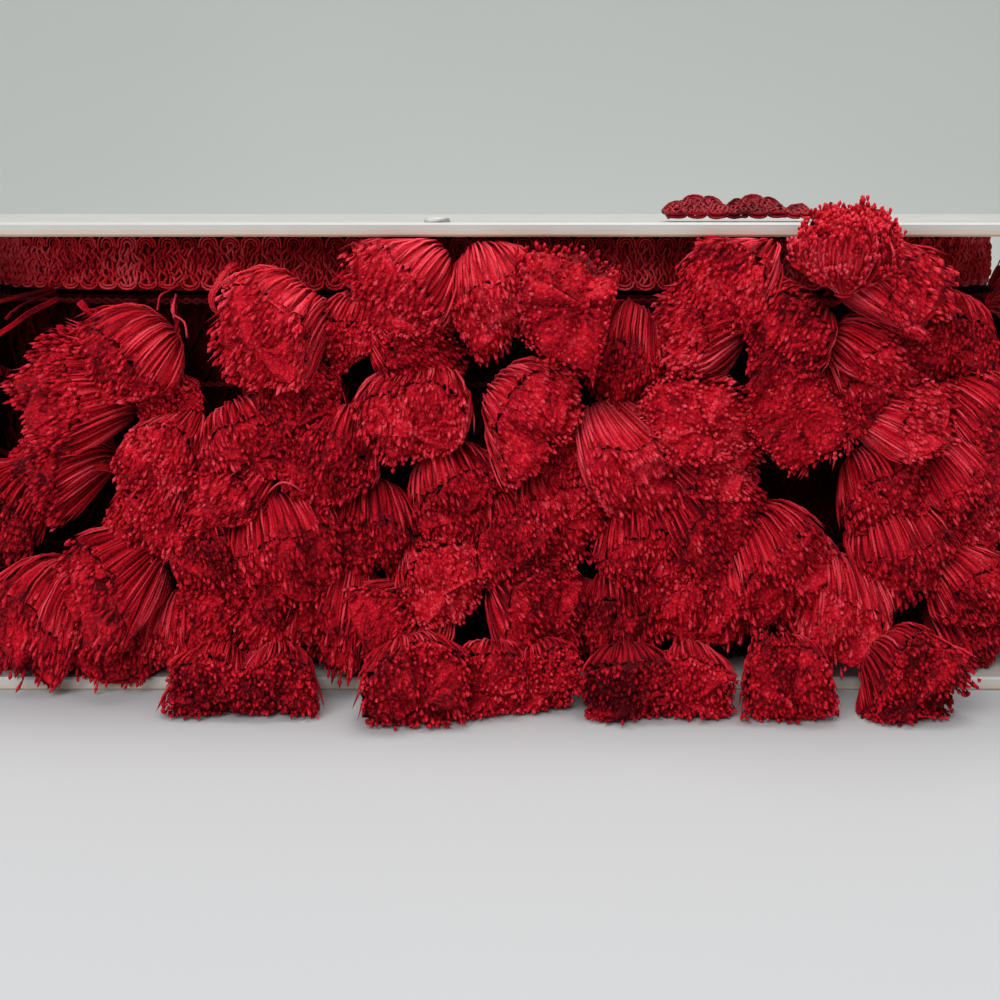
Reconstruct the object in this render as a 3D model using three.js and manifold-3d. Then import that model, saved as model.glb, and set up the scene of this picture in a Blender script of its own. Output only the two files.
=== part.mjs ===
import * as THREE from "three";
import { mergeVertices } from "three/addons/utils/BufferGeometryUtils.js";
import Module from "manifold-3d";

// Roll of tassel fringe trim, wound on a flat reel with two long boards.
// Millimetres, +Z up, +X to the right, the front towards -Y.
// The origin is under the middle of the lower board.

const GAP = 0.3;
const FLOOR = GAP;

// The reel: two plain boards, the trim wound between them.
const BOARD = { length: 320, depth: 132, thick: 3.2, corner: 9, edge: 0.5 };
const REEL_HEIGHT = 111;
const ROLL = { straight: 166, radius: 48 };
const ROLL_BOTTOM = BOARD.thick + GAP;
const ROLL_TOP = REEL_HEIGHT - BOARD.thick - GAP;

// The braided heading, its scalloped edges, and the netting below it.
const HEADING = { width: 13, scallops: 127, edgeDrop: 0.9, ridge: 0.5, lip: 1.3, thick: 2 };
const NETTING = { inset: 1, steps: 72, wave: 0.6, levels: [0, 0.33, 0.66, 1] };

// The backing strips that hold the tassels, one row for each tier of the fringe.
const STRIP = { thick: 2, tall: 3, out: 1.4, margin: 0.6, endSteps: 12 };
const TIER_HEIGHTS = [92, 72, 52, 32, 14];

// One tassel of usual size: a cord, a neck, and a brush that flares to its cut end.
const TASSEL = {
  length: 24,
  cord: 1,
  rootOut: 2.7,
  neckOut: 6,
  clear: 4,
  stray: 0.15,
};
const BRUSH_RINGS = [
  { along: 0, width: 2.4, thick: 2.2 },
  { along: 0.5, width: 7.5, thick: 5.8 },
  { along: 0.93, width: 12.5, thick: 8.5 },
];

// Tassels at the front, a table for each tier, as they lie from left to right.
// Columns: place along the wall and height of the neck (mm), then lean from
// straight down towards +X, rise off the wall (degrees), and size.
const FRONT_TIERS = [
  [
    [-76, 83, -65, 42, 1], [-44, 88, -60, 70, 1.15], [-30, 91, -20, 72, 0.65],
    [-25, 84, 82, 48, 0.8], [15, 84, 190, 68, 1.15], [33, 90, 10, 50, 0.85],
    [60, 85, -97, 43, 0.95], [74, 86, -80, 60, 1.05], [80, 77, 0, 55, 0.8],
    [82, 82, 84, 50, 0.9], [104, 90, -30, 50, 0.85],
  ],
  [
    [-85, 67, -104, 42, 1.1], [-78, 71, 30, 75, 0.6], [-73, 62, -60, 72, 0.9],
    [-59, 62, 60, 72, 0.9], [-48, 72, 20, 60, 0.8], [-35, 61, -85, 66, 0.95],
    [-17, 71, -20, 78, 1.05], [4, 67, 95, 70, 1.05], [17, 62, -20, 62, 0.75],
    [25, 64, 40, 48, 1.15], [43, 62, 165, 68, 0.95], [76, 64, 180, 66, 1],
    [87, 64, 110, 48, 0.95], [104, 70, 60, 60, 0.95],
  ],
  [
    [-108, 48, -35, 60, 0.8], [-90, 55, -108, 45, 0.9], [-74, 48, -40, 48, 0.85],
    [-55, 50, -85, 68, 0.95], [-53, 42, 3, 50, 1.15], [-28, 47, 13, 48, 0.85],
    [-11, 55, 36, 48, 0.9], [14, 50, 30, 60, 0.85], [44, 55, 65, 50, 0.9],
    [44, 46, 70, 50, 1], [88, 54, 35, 62, 0.8], [103, 56, 45, 60, 0.9],
  ],
  [
    [-97, 25, -20, 58, 1.1], [-81, 30, -48, 42, 1.05], [-66, 35, 25, 55, 0.85],
    [-50, 21, -28, 60, 0.8], [-34, 29, -4, 45, 0.95], [-15, 28, -20, 74, 0.85],
    [3, 41, 35, 50, 0.9], [4, 23, 88, 56, 0.95], [18, 24, 20, 70, 0.8],
    [36, 40, 0, 50, 0.95], [30, 22, -10, 66, 0.8], [51, 33, -9, 50, 0.95],
    [62, 38, 40, 46, 1.05], [82, 29, 9, 50, 1], [92, 42, 23, 48, 0.95],
    [108, 41, 53, 62, 0.7], [108, 26, 20, 62, 0.9],
  ],
  [
    [-87, 18, -10, 65, 0.8], [-75, 20, 0, 60, 0.75], [-64, 18, 10, 66, 0.75],
    [-16, 19, -24, 58, 0.95], [108, 14, 30, 68, 0.8], [-110, 15, -20, 68, 0.9],
  ],
];

// Tassels that hang clear of the boards' edges. Columns: place along the wall, height
// and distance of the neck from the wall (mm), lean and rise (degrees), and size.
const PROUD_TASSELS = [
  { tier: 0, name: "left of the pair under the board", at: [-12, 101, 6, -58, 38, 1] },
  { tier: 0, name: "right of the pair under the board", at: [-3, 102, 7, 38, 50, 0.9] },
  { tier: 0, name: "brush under the loose end", at: [63, 102, 9, -30, 42, 0.9] },
  { tier: 0, name: "ball over the upper board's rim", at: [80, 96, 25.5, 178, 20, 0.72] },
  { tier: 0, name: "brush right of the ball", at: [82, 97, 14, 66, 46, 1] },
];

// Tassels that lie on the floor along the front: place along the wall, lean, size.
const FLOOR_TASSELS = [
  [-64, -8, 0.85], [-50, 5, 0.85], [-20, 0, 1.15], [1, 5, 0.85], [11, 5, 0.7],
  [32, -10, 0.95], [46, 10, 0.9], [68, -5, 1], [90, 5, 1.05],
];
const FLOOR_NECK = { out: 20.5, height: 9 };

// The ends and the back, which follow the same tiers with made-up turns.
const HIDDEN = { start: 128, end: 516, perTier: 21, lean: 75, riseLow: 42, riseHigh: 72 };
const HIDDEN_HEIGHTS = [90, 73, 55, 37, 20];
const HIDDEN_FLOOR = { start: 236, end: 398, count: 7 };

// Loose end of the heading, banked up in humps on the upper board and over its front rim.
// Columns: centre of the braid (mm), the turn of its width from Y towards X, and the
// bank of its far edge above its near one (degrees).
const LOOSE_END = [
  [41, -55, 112.9, 0, 5], [43.5, -55, 113.8, 0, 13], [48, -55, 114.5, 0, 19],
  [53, -55, 114.3, 0, 17], [56.3, -55, 113.3, 0, 8], [58.7, -55, 114.2, 0, 16],
  [63, -55, 114.7, 0, 20], [67, -55, 114.2, 0, 15], [70.2, -55, 113, 0, 5],
  [72.6, -55.2, 113.6, 6, 11], [75, -56, 112.8, 18, 3], [78.4, -58, 112.7, 38, 0],
  [81.4, -62, 112.8, 64, 0], [83, -67.2, 113.2, 84, 0], [83.4, -69.8, 110.6, 90, 0],
  [83.4, -69.8, 106, 90, 0],
];

const PERIMETER = 2 * (ROLL.straight + Math.PI * ROLL.radius);
const HALF_TURN = Math.PI * ROLL.radius;
const SECTORS = [
  { name: "front_left", start: -ROLL.straight / 2, end: 0 },
  { name: "front_right", start: 0, end: ROLL.straight / 2 },
  { name: "right_end", start: ROLL.straight / 2, end: ROLL.straight / 2 + HALF_TURN },
  { name: "back_right", start: ROLL.straight / 2 + HALF_TURN, end: ROLL.straight + HALF_TURN },
  { name: "back_left", start: ROLL.straight + HALF_TURN, end: 1.5 * ROLL.straight + HALF_TURN },
  { name: "left_end", start: 1.5 * ROLL.straight + HALF_TURN, end: 1.5 * ROLL.straight + 2 * HALF_TURN },
];

const COLOURS = {
  board: { color: 0xe4e0d6, roughness: 0.5 },
  heading: { color: 0x7c1420, roughness: 0.75 },
  netting: { color: 0x3c0a10, roughness: 0.9 },
  tassel: { color: 0xc4182e, roughness: 0.85 },
};

const UP = new THREE.Vector3(0, 0, 1);
const wasm = await Module();
wasm.setup();

function material(kind) {
  return new THREE.MeshStandardMaterial({ ...COLOURS[kind], metalness: 0 });
}

// A steady value between -1 and 1 for each whole number.
function jitter(n) {
  const wave = Math.sin(n * 12.9898) * 43758.5453;
  return (wave - Math.floor(wave)) * 2 - 1;
}

// The point, tangent and outward normal at distance s around the wound wall,
// from the middle of the front towards +X, and out from the wall.
function wallAt(s, out) {
  const half = ROLL.straight / 2;
  let rest = THREE.MathUtils.euclideanModulo(s + half, PERIMETER);
  let side = 1;
  if (rest >= ROLL.straight + HALF_TURN) {
    rest -= ROLL.straight + HALF_TURN;
    side = -1;
  }
  const angle = Math.max(0, rest - ROLL.straight) / ROLL.radius;
  const along = Math.min(rest, ROLL.straight) - half;
  const normal = new THREE.Vector3(side * Math.sin(angle), -side * Math.cos(angle), 0);
  const tangent = new THREE.Vector3(side * Math.cos(angle), side * Math.sin(angle), 0);
  const point = normal.clone().multiplyScalar(ROLL.radius + out);
  point.x += side * along;
  return { point, normal, tangent };
}

// How far a point is outside the wound wall, and which way is out.
function offWall(point) {
  const half = ROLL.straight / 2;
  const core = THREE.MathUtils.clamp(point.x, -half, half);
  const normal = new THREE.Vector3(point.x - core, point.y, 0);
  const distance = normal.length() - ROLL.radius;
  normal.normalize();
  return { distance, normal };
}

// Whether a point is over the boards, and not beyond their rims.
function insideBoard(point) {
  return Math.abs(point.x) < BOARD.length / 2 && Math.abs(point.y) < BOARD.depth / 2;
}

// A closed geometry from shared points and triangles, without normals.
function geometryOf(points, triangles) {
  const geometry = new THREE.BufferGeometry();
  const places = points.flatMap((point) => point.toArray());
  geometry.setAttribute("position", new THREE.Float32BufferAttribute(places, 3));
  geometry.setIndex(triangles.flat());
  return geometry;
}

function solidOf(geometry) {
  const merged = mergeVertices(geometry, 1e-4);
  return new wasm.Manifold(new wasm.Mesh({
    numProp: 3,
    vertProperties: new Float32Array(merged.getAttribute("position").array),
    triVerts: new Uint32Array(merged.getIndex().array),
  }));
}

function geometryFrom(solid) {
  const mesh = solid.getMesh();
  const geometry = new THREE.BufferGeometry();
  geometry.setAttribute("position", new THREE.BufferAttribute(mesh.vertProperties, 3));
  geometry.setIndex(new THREE.BufferAttribute(mesh.triVerts, 1));
  return geometry;
}

// Triangles between neighbouring rings of equal count.
function skinRings(rings) {
  const count = rings[0].length;
  const triangles = [];
  for (let k = 0; k < rings.length - 1; k += 1) {
    for (let i = 0; i < count; i += 1) {
      const next = (i + 1) % count;
      const low = k * count;
      const high = low + count;
      triangles.push([low + i, low + next, high + next], [low + i, high + next, high + i]);
    }
  }
  return triangles;
}

// A closed solid through its rings, with both ends filled in the plane that flatten gives.
function loftGeometry(rings, flatten) {
  const last = (rings.length - 1) * rings[0].length;
  const triangles = skinRings(rings);
  for (const [a, b, c] of THREE.ShapeUtils.triangulateShape(rings[0].map(flatten), [])) {
    triangles.push([c, b, a], [last + a, last + b, last + c]);
  }
  return geometryOf(rings.flat(), triangles);
}

const fromAbove = (point) => new THREE.Vector2(point.x, point.y);

// The end of a bar of four-cornered rings where it starts.
const BAR_START = [[0, 2, 1], [0, 3, 2]];

// A closed bar through rings of four corners.
function barGeometry(rings) {
  const last = 4 * (rings.length - 1);
  const end = [[last, last + 1, last + 2], [last, last + 2, last + 3]];
  return geometryOf(rings.flat(), [...skinRings(rings), ...BAR_START, ...end]);
}

// A board with round corners and softened edges, its underside at z = 0.
function boardGeometry() {
  const x = BOARD.length / 2 - BOARD.edge;
  const y = BOARD.depth / 2 - BOARD.edge;
  const r = BOARD.corner;
  const outline = new THREE.Shape();
  outline.absarc(x - r, y - r, r, 0, Math.PI / 2);
  outline.absarc(-x + r, y - r, r, Math.PI / 2, Math.PI);
  outline.absarc(-x + r, -y + r, r, Math.PI, 1.5 * Math.PI);
  outline.absarc(x - r, -y + r, r, 1.5 * Math.PI, 2 * Math.PI);
  const geometry = new THREE.ExtrudeGeometry(outline, {
    depth: BOARD.thick - 2 * BOARD.edge,
    bevelThickness: BOARD.edge,
    bevelSize: BOARD.edge,
    bevelSegments: 1,
    curveSegments: 6,
  });
  return geometry.translate(0, 0, BOARD.edge);
}

// The wound heading: two points to a scallop, ridged outside and scalloped at both edges.
function headingGeometry() {
  const count = 2 * HEADING.scallops;
  const bottom = ROLL_TOP - HEADING.width;
  const profile = [
    { z: bottom, edge: -1, ridge: -0.6 },
    { z: bottom + HEADING.lip, edge: -1, ridge: 1 },
    { z: ROLL_TOP - HEADING.lip, edge: 1, ridge: 1 },
    { z: ROLL_TOP, edge: 1, ridge: -0.6 },
  ];
  const rings = profile.map(({ z, edge, ridge }) => {
    const ring = [];
    for (let i = 0; i < count; i += 1) {
      const crest = i % 2;
      const { point } = wallAt((i / count) * PERIMETER, HEADING.ridge * (crest ? ridge : -0.5));
      point.z = z - (crest ? 0 : edge * HEADING.edgeDrop);
      ring.push(point);
    }
    return ring;
  });
  return loftGeometry(rings, fromAbove);
}

// The wound netting below the heading, which bulges a little from turn to turn.
function nettingGeometry() {
  const top = ROLL_TOP - HEADING.width - HEADING.edgeDrop - GAP;
  const rings = NETTING.levels.map((part, level) => {
    const ring = [];
    for (let i = 0; i < NETTING.steps; i += 1) {
      const bulge = NETTING.wave * jitter(i + 100 * level);
      const { point } = wallAt((i / NETTING.steps) * PERIMETER, bulge - NETTING.inset);
      point.z = THREE.MathUtils.lerp(ROLL_BOTTOM, top, part);
      ring.push(point);
    }
    return ring;
  });
  return loftGeometry(rings, fromAbove);
}

// The loose end: a flat braid swept through its table of centres.
function looseEndGeometry() {
  const centres = LOOSE_END.map(([x, y, z]) => new THREE.Vector3(x, y, z));
  const rings = LOOSE_END.map(([, , , turn, bank], k) => {
    const ahead = centres[Math.min(k + 1, centres.length - 1)];
    const behind = centres[Math.max(k - 1, 0)];
    const along = ahead.clone().sub(behind).normalize();
    const angle = THREE.MathUtils.degToRad(turn);
    const rise = Math.tan(THREE.MathUtils.degToRad(bank));
    const wide = new THREE.Vector3(Math.sin(angle), Math.cos(angle), rise);
    const face = along.clone().cross(wide).normalize();
    wide.crossVectors(face, along);
    return rectangle(centres[k], wide, face, HEADING.width / 2, HEADING.thick / 2);
  });
  return barGeometry(rings);
}

// Four corners around a centre, in order about the cross product of wide and face.
function rectangle(centre, wide, face, halfWide, halfFace) {
  return [[-1, -1], [1, -1], [1, 1], [-1, 1]].map(([a, b]) => (
    centre.clone().addScaledVector(wide, a * halfWide).addScaledVector(face, b * halfFace)
  ));
}

// The narrow backing strip of one tier along one sector of the wall.
function stripGeometry(sector, height) {
  const steps = sector.name.endsWith("end") ? STRIP.endSteps : 1;
  const rings = [];
  for (let k = 0; k <= steps; k += 1) {
    const s = THREE.MathUtils.lerp(sector.start + STRIP.margin, sector.end - STRIP.margin, k / steps);
    const { point, normal } = wallAt(s, STRIP.out + STRIP.thick / 2);
    point.z = height;
    rings.push(rectangle(point, normal, UP, STRIP.thick / 2, STRIP.tall / 2).reverse());
  }
  return barGeometry(rings);
}

// A tassel's root on its strip, its neck, and the tip where its lean and rise put it.
function makeTassel(tier, s, height, out, lean, rise, size) {
  const { point: neck, normal, tangent } = wallAt(s, out);
  neck.z = height;
  const down = THREE.MathUtils.degToRad(lean);
  const off = THREE.MathUtils.degToRad(rise);
  const direction = tangent.clone().multiplyScalar(Math.sin(down) * Math.cos(off));
  direction.addScaledVector(UP, -Math.cos(down) * Math.cos(off));
  direction.addScaledVector(normal, Math.sin(off));
  const reach = TASSEL.length * size;
  const tip = neck.clone().addScaledVector(direction, reach);
  const around = THREE.MathUtils.euclideanModulo(s + ROLL.straight / 2, PERIMETER) - ROLL.straight / 2;
  const sector = SECTORS.findIndex(({ end }) => around < end);
  const margin = STRIP.margin + 2 * TASSEL.cord;
  const hold = THREE.MathUtils.clamp(around, SECTORS[sector].start + margin, SECTORS[sector].end - margin);
  const root = wallAt(hold, TASSEL.rootOut).point;
  root.z = TIER_HEIGHTS[tier];
  return { tier, sector, root, neck, tip, normal, reach, size };
}

function layTassels() {
  const tassels = [];
  FRONT_TIERS.forEach((rows, tier) => {
    for (const [s, height, lean, rise, size] of rows) {
      tassels.push(makeTassel(tier, s, height, TASSEL.neckOut, lean, rise, size));
    }
  });
  for (const { tier, at } of PROUD_TASSELS) {
    tassels.push(makeTassel(tier, ...at));
  }
  const lowest = TIER_HEIGHTS.length - 1;
  for (const [s, lean, size] of FLOOR_TASSELS) {
    tassels.push(makeTassel(lowest, s, FLOOR_NECK.height, FLOOR_NECK.out, lean, 80, size));
  }
  for (let k = 0; k < HIDDEN_FLOOR.count; k += 1) {
    const s = THREE.MathUtils.lerp(HIDDEN_FLOOR.start, HIDDEN_FLOOR.end, (k + 0.5) / HIDDEN_FLOOR.count);
    tassels.push(makeTassel(lowest, s, FLOOR_NECK.height, FLOOR_NECK.out, 12 * jitter(k + 900), 80, 1));
  }
  HIDDEN_HEIGHTS.forEach((height, tier) => {
    for (let k = 0; k < HIDDEN.perTier; k += 1) {
      const seed = 40 * tier + k;
      const part = (k + (tier % 2 ? 0.75 : 0.25) + 0.25 * jitter(seed)) / HIDDEN.perTier;
      const s = THREE.MathUtils.lerp(HIDDEN.start, HIDDEN.end, part);
      const lean = HIDDEN.lean * jitter(seed + 300);
      const rise = THREE.MathUtils.lerp(HIDDEN.riseLow, HIDDEN.riseHigh, 0.5 + 0.5 * jitter(seed + 500));
      const size = 1 + 0.12 * jitter(seed + 700);
      tassels.push(makeTassel(tier, s, height + 4 * jitter(seed + 200), TASSEL.neckOut, lean, rise, size));
    }
  });
  return tassels;
}

// Round samples along each tassel, with how far each one follows the tip.
const SAMPLES = [
  { along: -0.5, radius: 1.6, follow: 0 },
  { along: 0, radius: 2.6, follow: 0 },
  { along: 0.5, radius: 5.6, follow: 0.5 },
  { along: 1, radius: 8.8, follow: 1 },
];
const RELAX_ROUNDS = 90;
const SETTLE_PASSES = 16;

function samplePoint(tassel, along) {
  if (along < 0) return tassel.neck.clone().lerp(tassel.root, -along);
  return tassel.neck.clone().lerp(tassel.tip, along);
}

// Keeps a tip at its length from the neck, off the wall and clear of boards and floor.
function settleTip(tassel) {
  const { neck, tip, reach, size } = tassel;
  const lie = 6.4 * size;
  for (let pass = 0; pass < 3; pass += 1) {
    const wall = offWall(tip);
    if (wall.distance < TASSEL.clear + lie) {
      tip.addScaledVector(wall.normal, TASSEL.clear + lie - wall.distance);
    }
    if (insideBoard(neck)) {
      tip.z = THREE.MathUtils.clamp(tip.z, ROLL_BOTTOM + lie, ROLL_TOP - lie);
    } else {
      tip.z = Math.max(tip.z, FLOOR + lie);
    }
    tip.sub(neck).setLength(reach).add(neck);
  }
}

// Pushes neighbouring tassels apart until their samples no longer meet.
function relax(tassels) {
  for (let round = 0; round < RELAX_ROUNDS; round += 1) {
    const pushes = tassels.map(() => new THREE.Vector3());
    const spots = tassels.map((tassel) => SAMPLES.map(({ along, radius, follow }) => ({
      point: samplePoint(tassel, along),
      radius: follow ? radius * tassel.size : radius,
      follow,
    })));
    for (let i = 0; i < tassels.length; i += 1) {
      for (let j = i + 1; j < tassels.length; j += 1) {
        if (tassels[i].neck.distanceTo(tassels[j].neck) > 60) continue;
        for (const a of spots[i]) {
          for (const b of spots[j]) {
            if (!a.follow && !b.follow) continue;
            const apart = a.point.clone().sub(b.point);
            const missing = a.radius + b.radius - apart.length();
            if (missing <= 0) continue;
            apart.setLength(missing * 0.35);
            if (a.follow) pushes[i].add(apart);
            if (b.follow) pushes[j].sub(apart);
          }
        }
      }
    }
    tassels.forEach((tassel, i) => {
      tassel.tip.add(pushes[i]);
      settleTip(tassel);
    });
  }
}

// Closest points of two line pieces, as the vector from the second to the first.
function between(a0, a1, b0, b1) {
  const u = a1.clone().sub(a0);
  const v = b1.clone().sub(b0);
  const w = a0.clone().sub(b0);
  const uu = u.dot(u);
  const uv = u.dot(v);
  const vv = v.dot(v);
  const uw = u.dot(w);
  const vw = v.dot(w);
  const cross = uu * vv - uv * uv;
  let sa = cross > 1e-9 ? THREE.MathUtils.clamp((uv * vw - vv * uw) / cross, 0, 1) : 0;
  const sb = THREE.MathUtils.clamp((uv * sa + vw) / vv, 0, 1);
  sa = THREE.MathUtils.clamp((uv * sb - uw) / uu, 0, 1);
  const onA = a0.clone().addScaledVector(u, sa);
  const onB = b0.clone().addScaledVector(v, sb);
  return { onA, onB, distance: onA.distanceTo(onB) };
}

// For each tassel, the planes that keep it apart from its neighbours' brushes and cords.
function partingPlanes(tassels) {
  const planes = tassels.map(() => []);
  tassels.forEach((own, i) => {
    tassels.forEach((other, j) => {
      if (i === j || own.neck.distanceTo(other.neck) > 60) return;
      const brush = between(own.neck, own.tip, other.neck, other.tip);
      if (brush.distance < 26) {
        const normal = brush.onB.clone().sub(brush.onA).normalize();
        const middle = brush.onA.clone().add(brush.onB).multiplyScalar(0.5);
        planes[i].push({ normal, limit: normal.dot(middle) - GAP * 0.75 });
      }
      const cord = between(own.neck, own.tip, other.root, other.neck);
      if (cord.distance < 14) {
        const normal = cord.onB.clone().sub(cord.onA).normalize();
        const keep = Math.min(cord.distance * 0.6, cord.distance - 2);
        planes[i].push({ normal, limit: normal.dot(cord.onA) + keep });
      }
    });
  });
  return planes;
}

// Moves a corner of a brush inside its planes, off the wall and clear of boards and floor.
function settleCorner(corner, tassel, planes) {
  const underBoard = insideBoard(tassel.neck);
  for (let pass = 0; pass < SETTLE_PASSES; pass += 1) {
    for (const { normal, limit } of planes) {
      const over = normal.dot(corner) - limit;
      if (over > 0) corner.addScaledVector(normal, -over);
    }
    const wall = offWall(corner);
    const clear = TASSEL.clear + (Math.abs(corner.x) > ROLL.straight / 2 ? 1 : 0);
    if (wall.distance < clear) corner.addScaledVector(wall.normal, clear - wall.distance);
    if (underBoard) {
      corner.z = THREE.MathUtils.clamp(corner.z, ROLL_BOTTOM, ROLL_TOP);
    } else {
      corner.z = Math.max(corner.z, FLOOR);
      const rim = BOARD.depth / 2 + GAP;
      if (Math.abs(corner.y) < rim) corner.y = Math.sign(corner.y) * rim;
    }
  }
  return corner;
}

// One tassel as a four-sided lock: cord, neck, and a brush with a domed cut end.
function tasselGeometry(tassel, index, planes) {
  const { root, neck, tip, normal, size } = tassel;
  const along = tip.clone().sub(neck).normalize();
  const stray = new THREE.Vector3(jitter(index), jitter(index + 50), jitter(index + 90));
  const turn = normal.clone().addScaledVector(stray, TASSEL.stray);
  const wide = along.clone().cross(turn).normalize();
  const face = along.clone().cross(wide).normalize();
  const cordLine = neck.clone().sub(root).normalize();
  const cordWide = wide.clone().addScaledVector(cordLine, -wide.dot(cordLine)).normalize();
  const cordFace = cordLine.clone().cross(cordWide).normalize();
  const rings = [rectangle(root, cordWide, cordFace, TASSEL.cord, TASSEL.cord)];
  for (const ring of BRUSH_RINGS) {
    const centre = neck.clone().lerp(tip, ring.along);
    const corners = rectangle(centre, wide, face, ring.width * size, ring.thick * size);
    rings.push(corners.map((corner) => settleCorner(corner, tassel, planes)));
  }
  const points = [...rings.flat(), settleCorner(tip.clone(), tassel, planes)];
  const last = 4 * (rings.length - 1);
  const apex = points.length - 1;
  const triangles = [...skinRings(rings), ...BAR_START];
  for (let i = 0; i < 4; i += 1) triangles.push([last + i, last + ((i + 1) % 4), apex]);
  return geometryOf(points, triangles);
}

function named(name, geometry, kind) {
  const mesh = new THREE.Mesh(geometry, material(kind));
  mesh.name = name;
  return mesh;
}

function reelBoards() {
  const lower = named("board_lower", boardGeometry(), "board");
  const upper = named("board_upper", boardGeometry(), "board");
  upper.position.z = REEL_HEIGHT - BOARD.thick;
  return [lower, upper];
}

function tasselRows() {
  const tassels = layTassels();
  relax(tassels);
  const planes = partingPlanes(tassels);
  const rows = [];
  TIER_HEIGHTS.forEach((height, tier) => {
    SECTORS.forEach((sector, number) => {
      let solid = solidOf(stripGeometry(sector, height));
      tassels.forEach((tassel, index) => {
        if (tassel.tier !== tier || tassel.sector !== number) return;
        solid = solid.add(solidOf(tasselGeometry(tassel, index, planes[index])));
      });
      rows.push(named(`tassels_${tier + 1}_${sector.name}`, geometryFrom(solid), "tassel"));
    });
  });
  return rows;
}

const roll = new THREE.Group();
roll.add(...reelBoards());
roll.add(named("netting_roll", nettingGeometry(), "netting"));
roll.add(named("heading_roll", headingGeometry(), "heading"));
roll.add(named("loose_end", looseEndGeometry(), "heading"));
roll.add(...tasselRows());

export default roll;
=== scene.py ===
import math

import bpy
import numpy as np
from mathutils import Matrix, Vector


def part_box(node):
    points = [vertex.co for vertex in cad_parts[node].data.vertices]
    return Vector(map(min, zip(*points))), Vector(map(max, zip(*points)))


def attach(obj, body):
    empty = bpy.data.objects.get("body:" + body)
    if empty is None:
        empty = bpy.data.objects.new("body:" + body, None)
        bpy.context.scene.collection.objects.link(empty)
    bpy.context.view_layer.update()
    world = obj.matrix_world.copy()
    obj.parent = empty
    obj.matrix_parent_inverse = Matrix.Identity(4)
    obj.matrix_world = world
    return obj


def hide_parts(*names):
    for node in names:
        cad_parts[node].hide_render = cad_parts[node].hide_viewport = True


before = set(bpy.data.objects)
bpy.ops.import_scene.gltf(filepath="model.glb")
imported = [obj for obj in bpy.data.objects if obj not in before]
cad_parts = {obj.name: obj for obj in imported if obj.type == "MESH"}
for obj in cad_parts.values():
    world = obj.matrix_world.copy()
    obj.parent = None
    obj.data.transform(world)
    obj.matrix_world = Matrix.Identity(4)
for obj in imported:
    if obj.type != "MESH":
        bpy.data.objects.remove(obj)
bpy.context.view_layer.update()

# Roll of tassel fringe trim, wound on a flat reel with two long boards.
# Sizes here are in millimetres and degrees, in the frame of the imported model;
# MM turns them into metres where a mesh is made.
MM = 0.001


def box_mm(node):
    """Lowest and highest corner of a node of the frame, in millimetres."""
    low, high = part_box(node)
    return np.array(low) / MM, np.array(high) / MM


LOWER_BOARD = box_mm("board_lower")
UPPER_BOARD = box_mm("board_upper")
HEADING_BOX = box_mm("heading_roll")

# The turn that scatters points evenly over a disc, and the range of a wave's phase.
GOLDEN_TURN = 2.39996
PHASES = 6.28

# The reel and the wall of wound trim between its boards.
GAP = 0.3
BOARD_HALF_LENGTH = UPPER_BOARD[1][0]
BOARD_HALF_DEPTH = UPPER_BOARD[1][1]
BOARD_THICK = LOWER_BOARD[1][2]
ROLL_BOTTOM = BOARD_THICK + GAP
ROLL_TOP = HEADING_BOX[1][2]
STRAIGHT = 166.0
RADIUS = 48.0
HALF_TURN = math.pi * RADIUS
PERIMETER = 2 * (STRAIGHT + HALF_TURN)

# The braided heading.
BRAID_WIDTH = ROLL_TOP - HEADING_BOX[0][2]
SCALLOPS = 127
REPEAT = PERIMETER / SCALLOPS

# The strips that hold the tassels, a row for each tier of the fringe: two yarns a strip.
TIER_HEIGHTS = [92, 72, 52, 32, 14]
STRIP = {"out": 2.4, "margin": 0.6, "step": 2.4, "ply": 0.55, "twist": 1.4, "yarn": 0.5, "tone": -0.1}

# One tassel of usual size.
TASSEL = {"length": 24, "cord": 1, "root_out": 2.7, "neck_out": 6, "clear": 4, "stray": 0.15}

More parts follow.
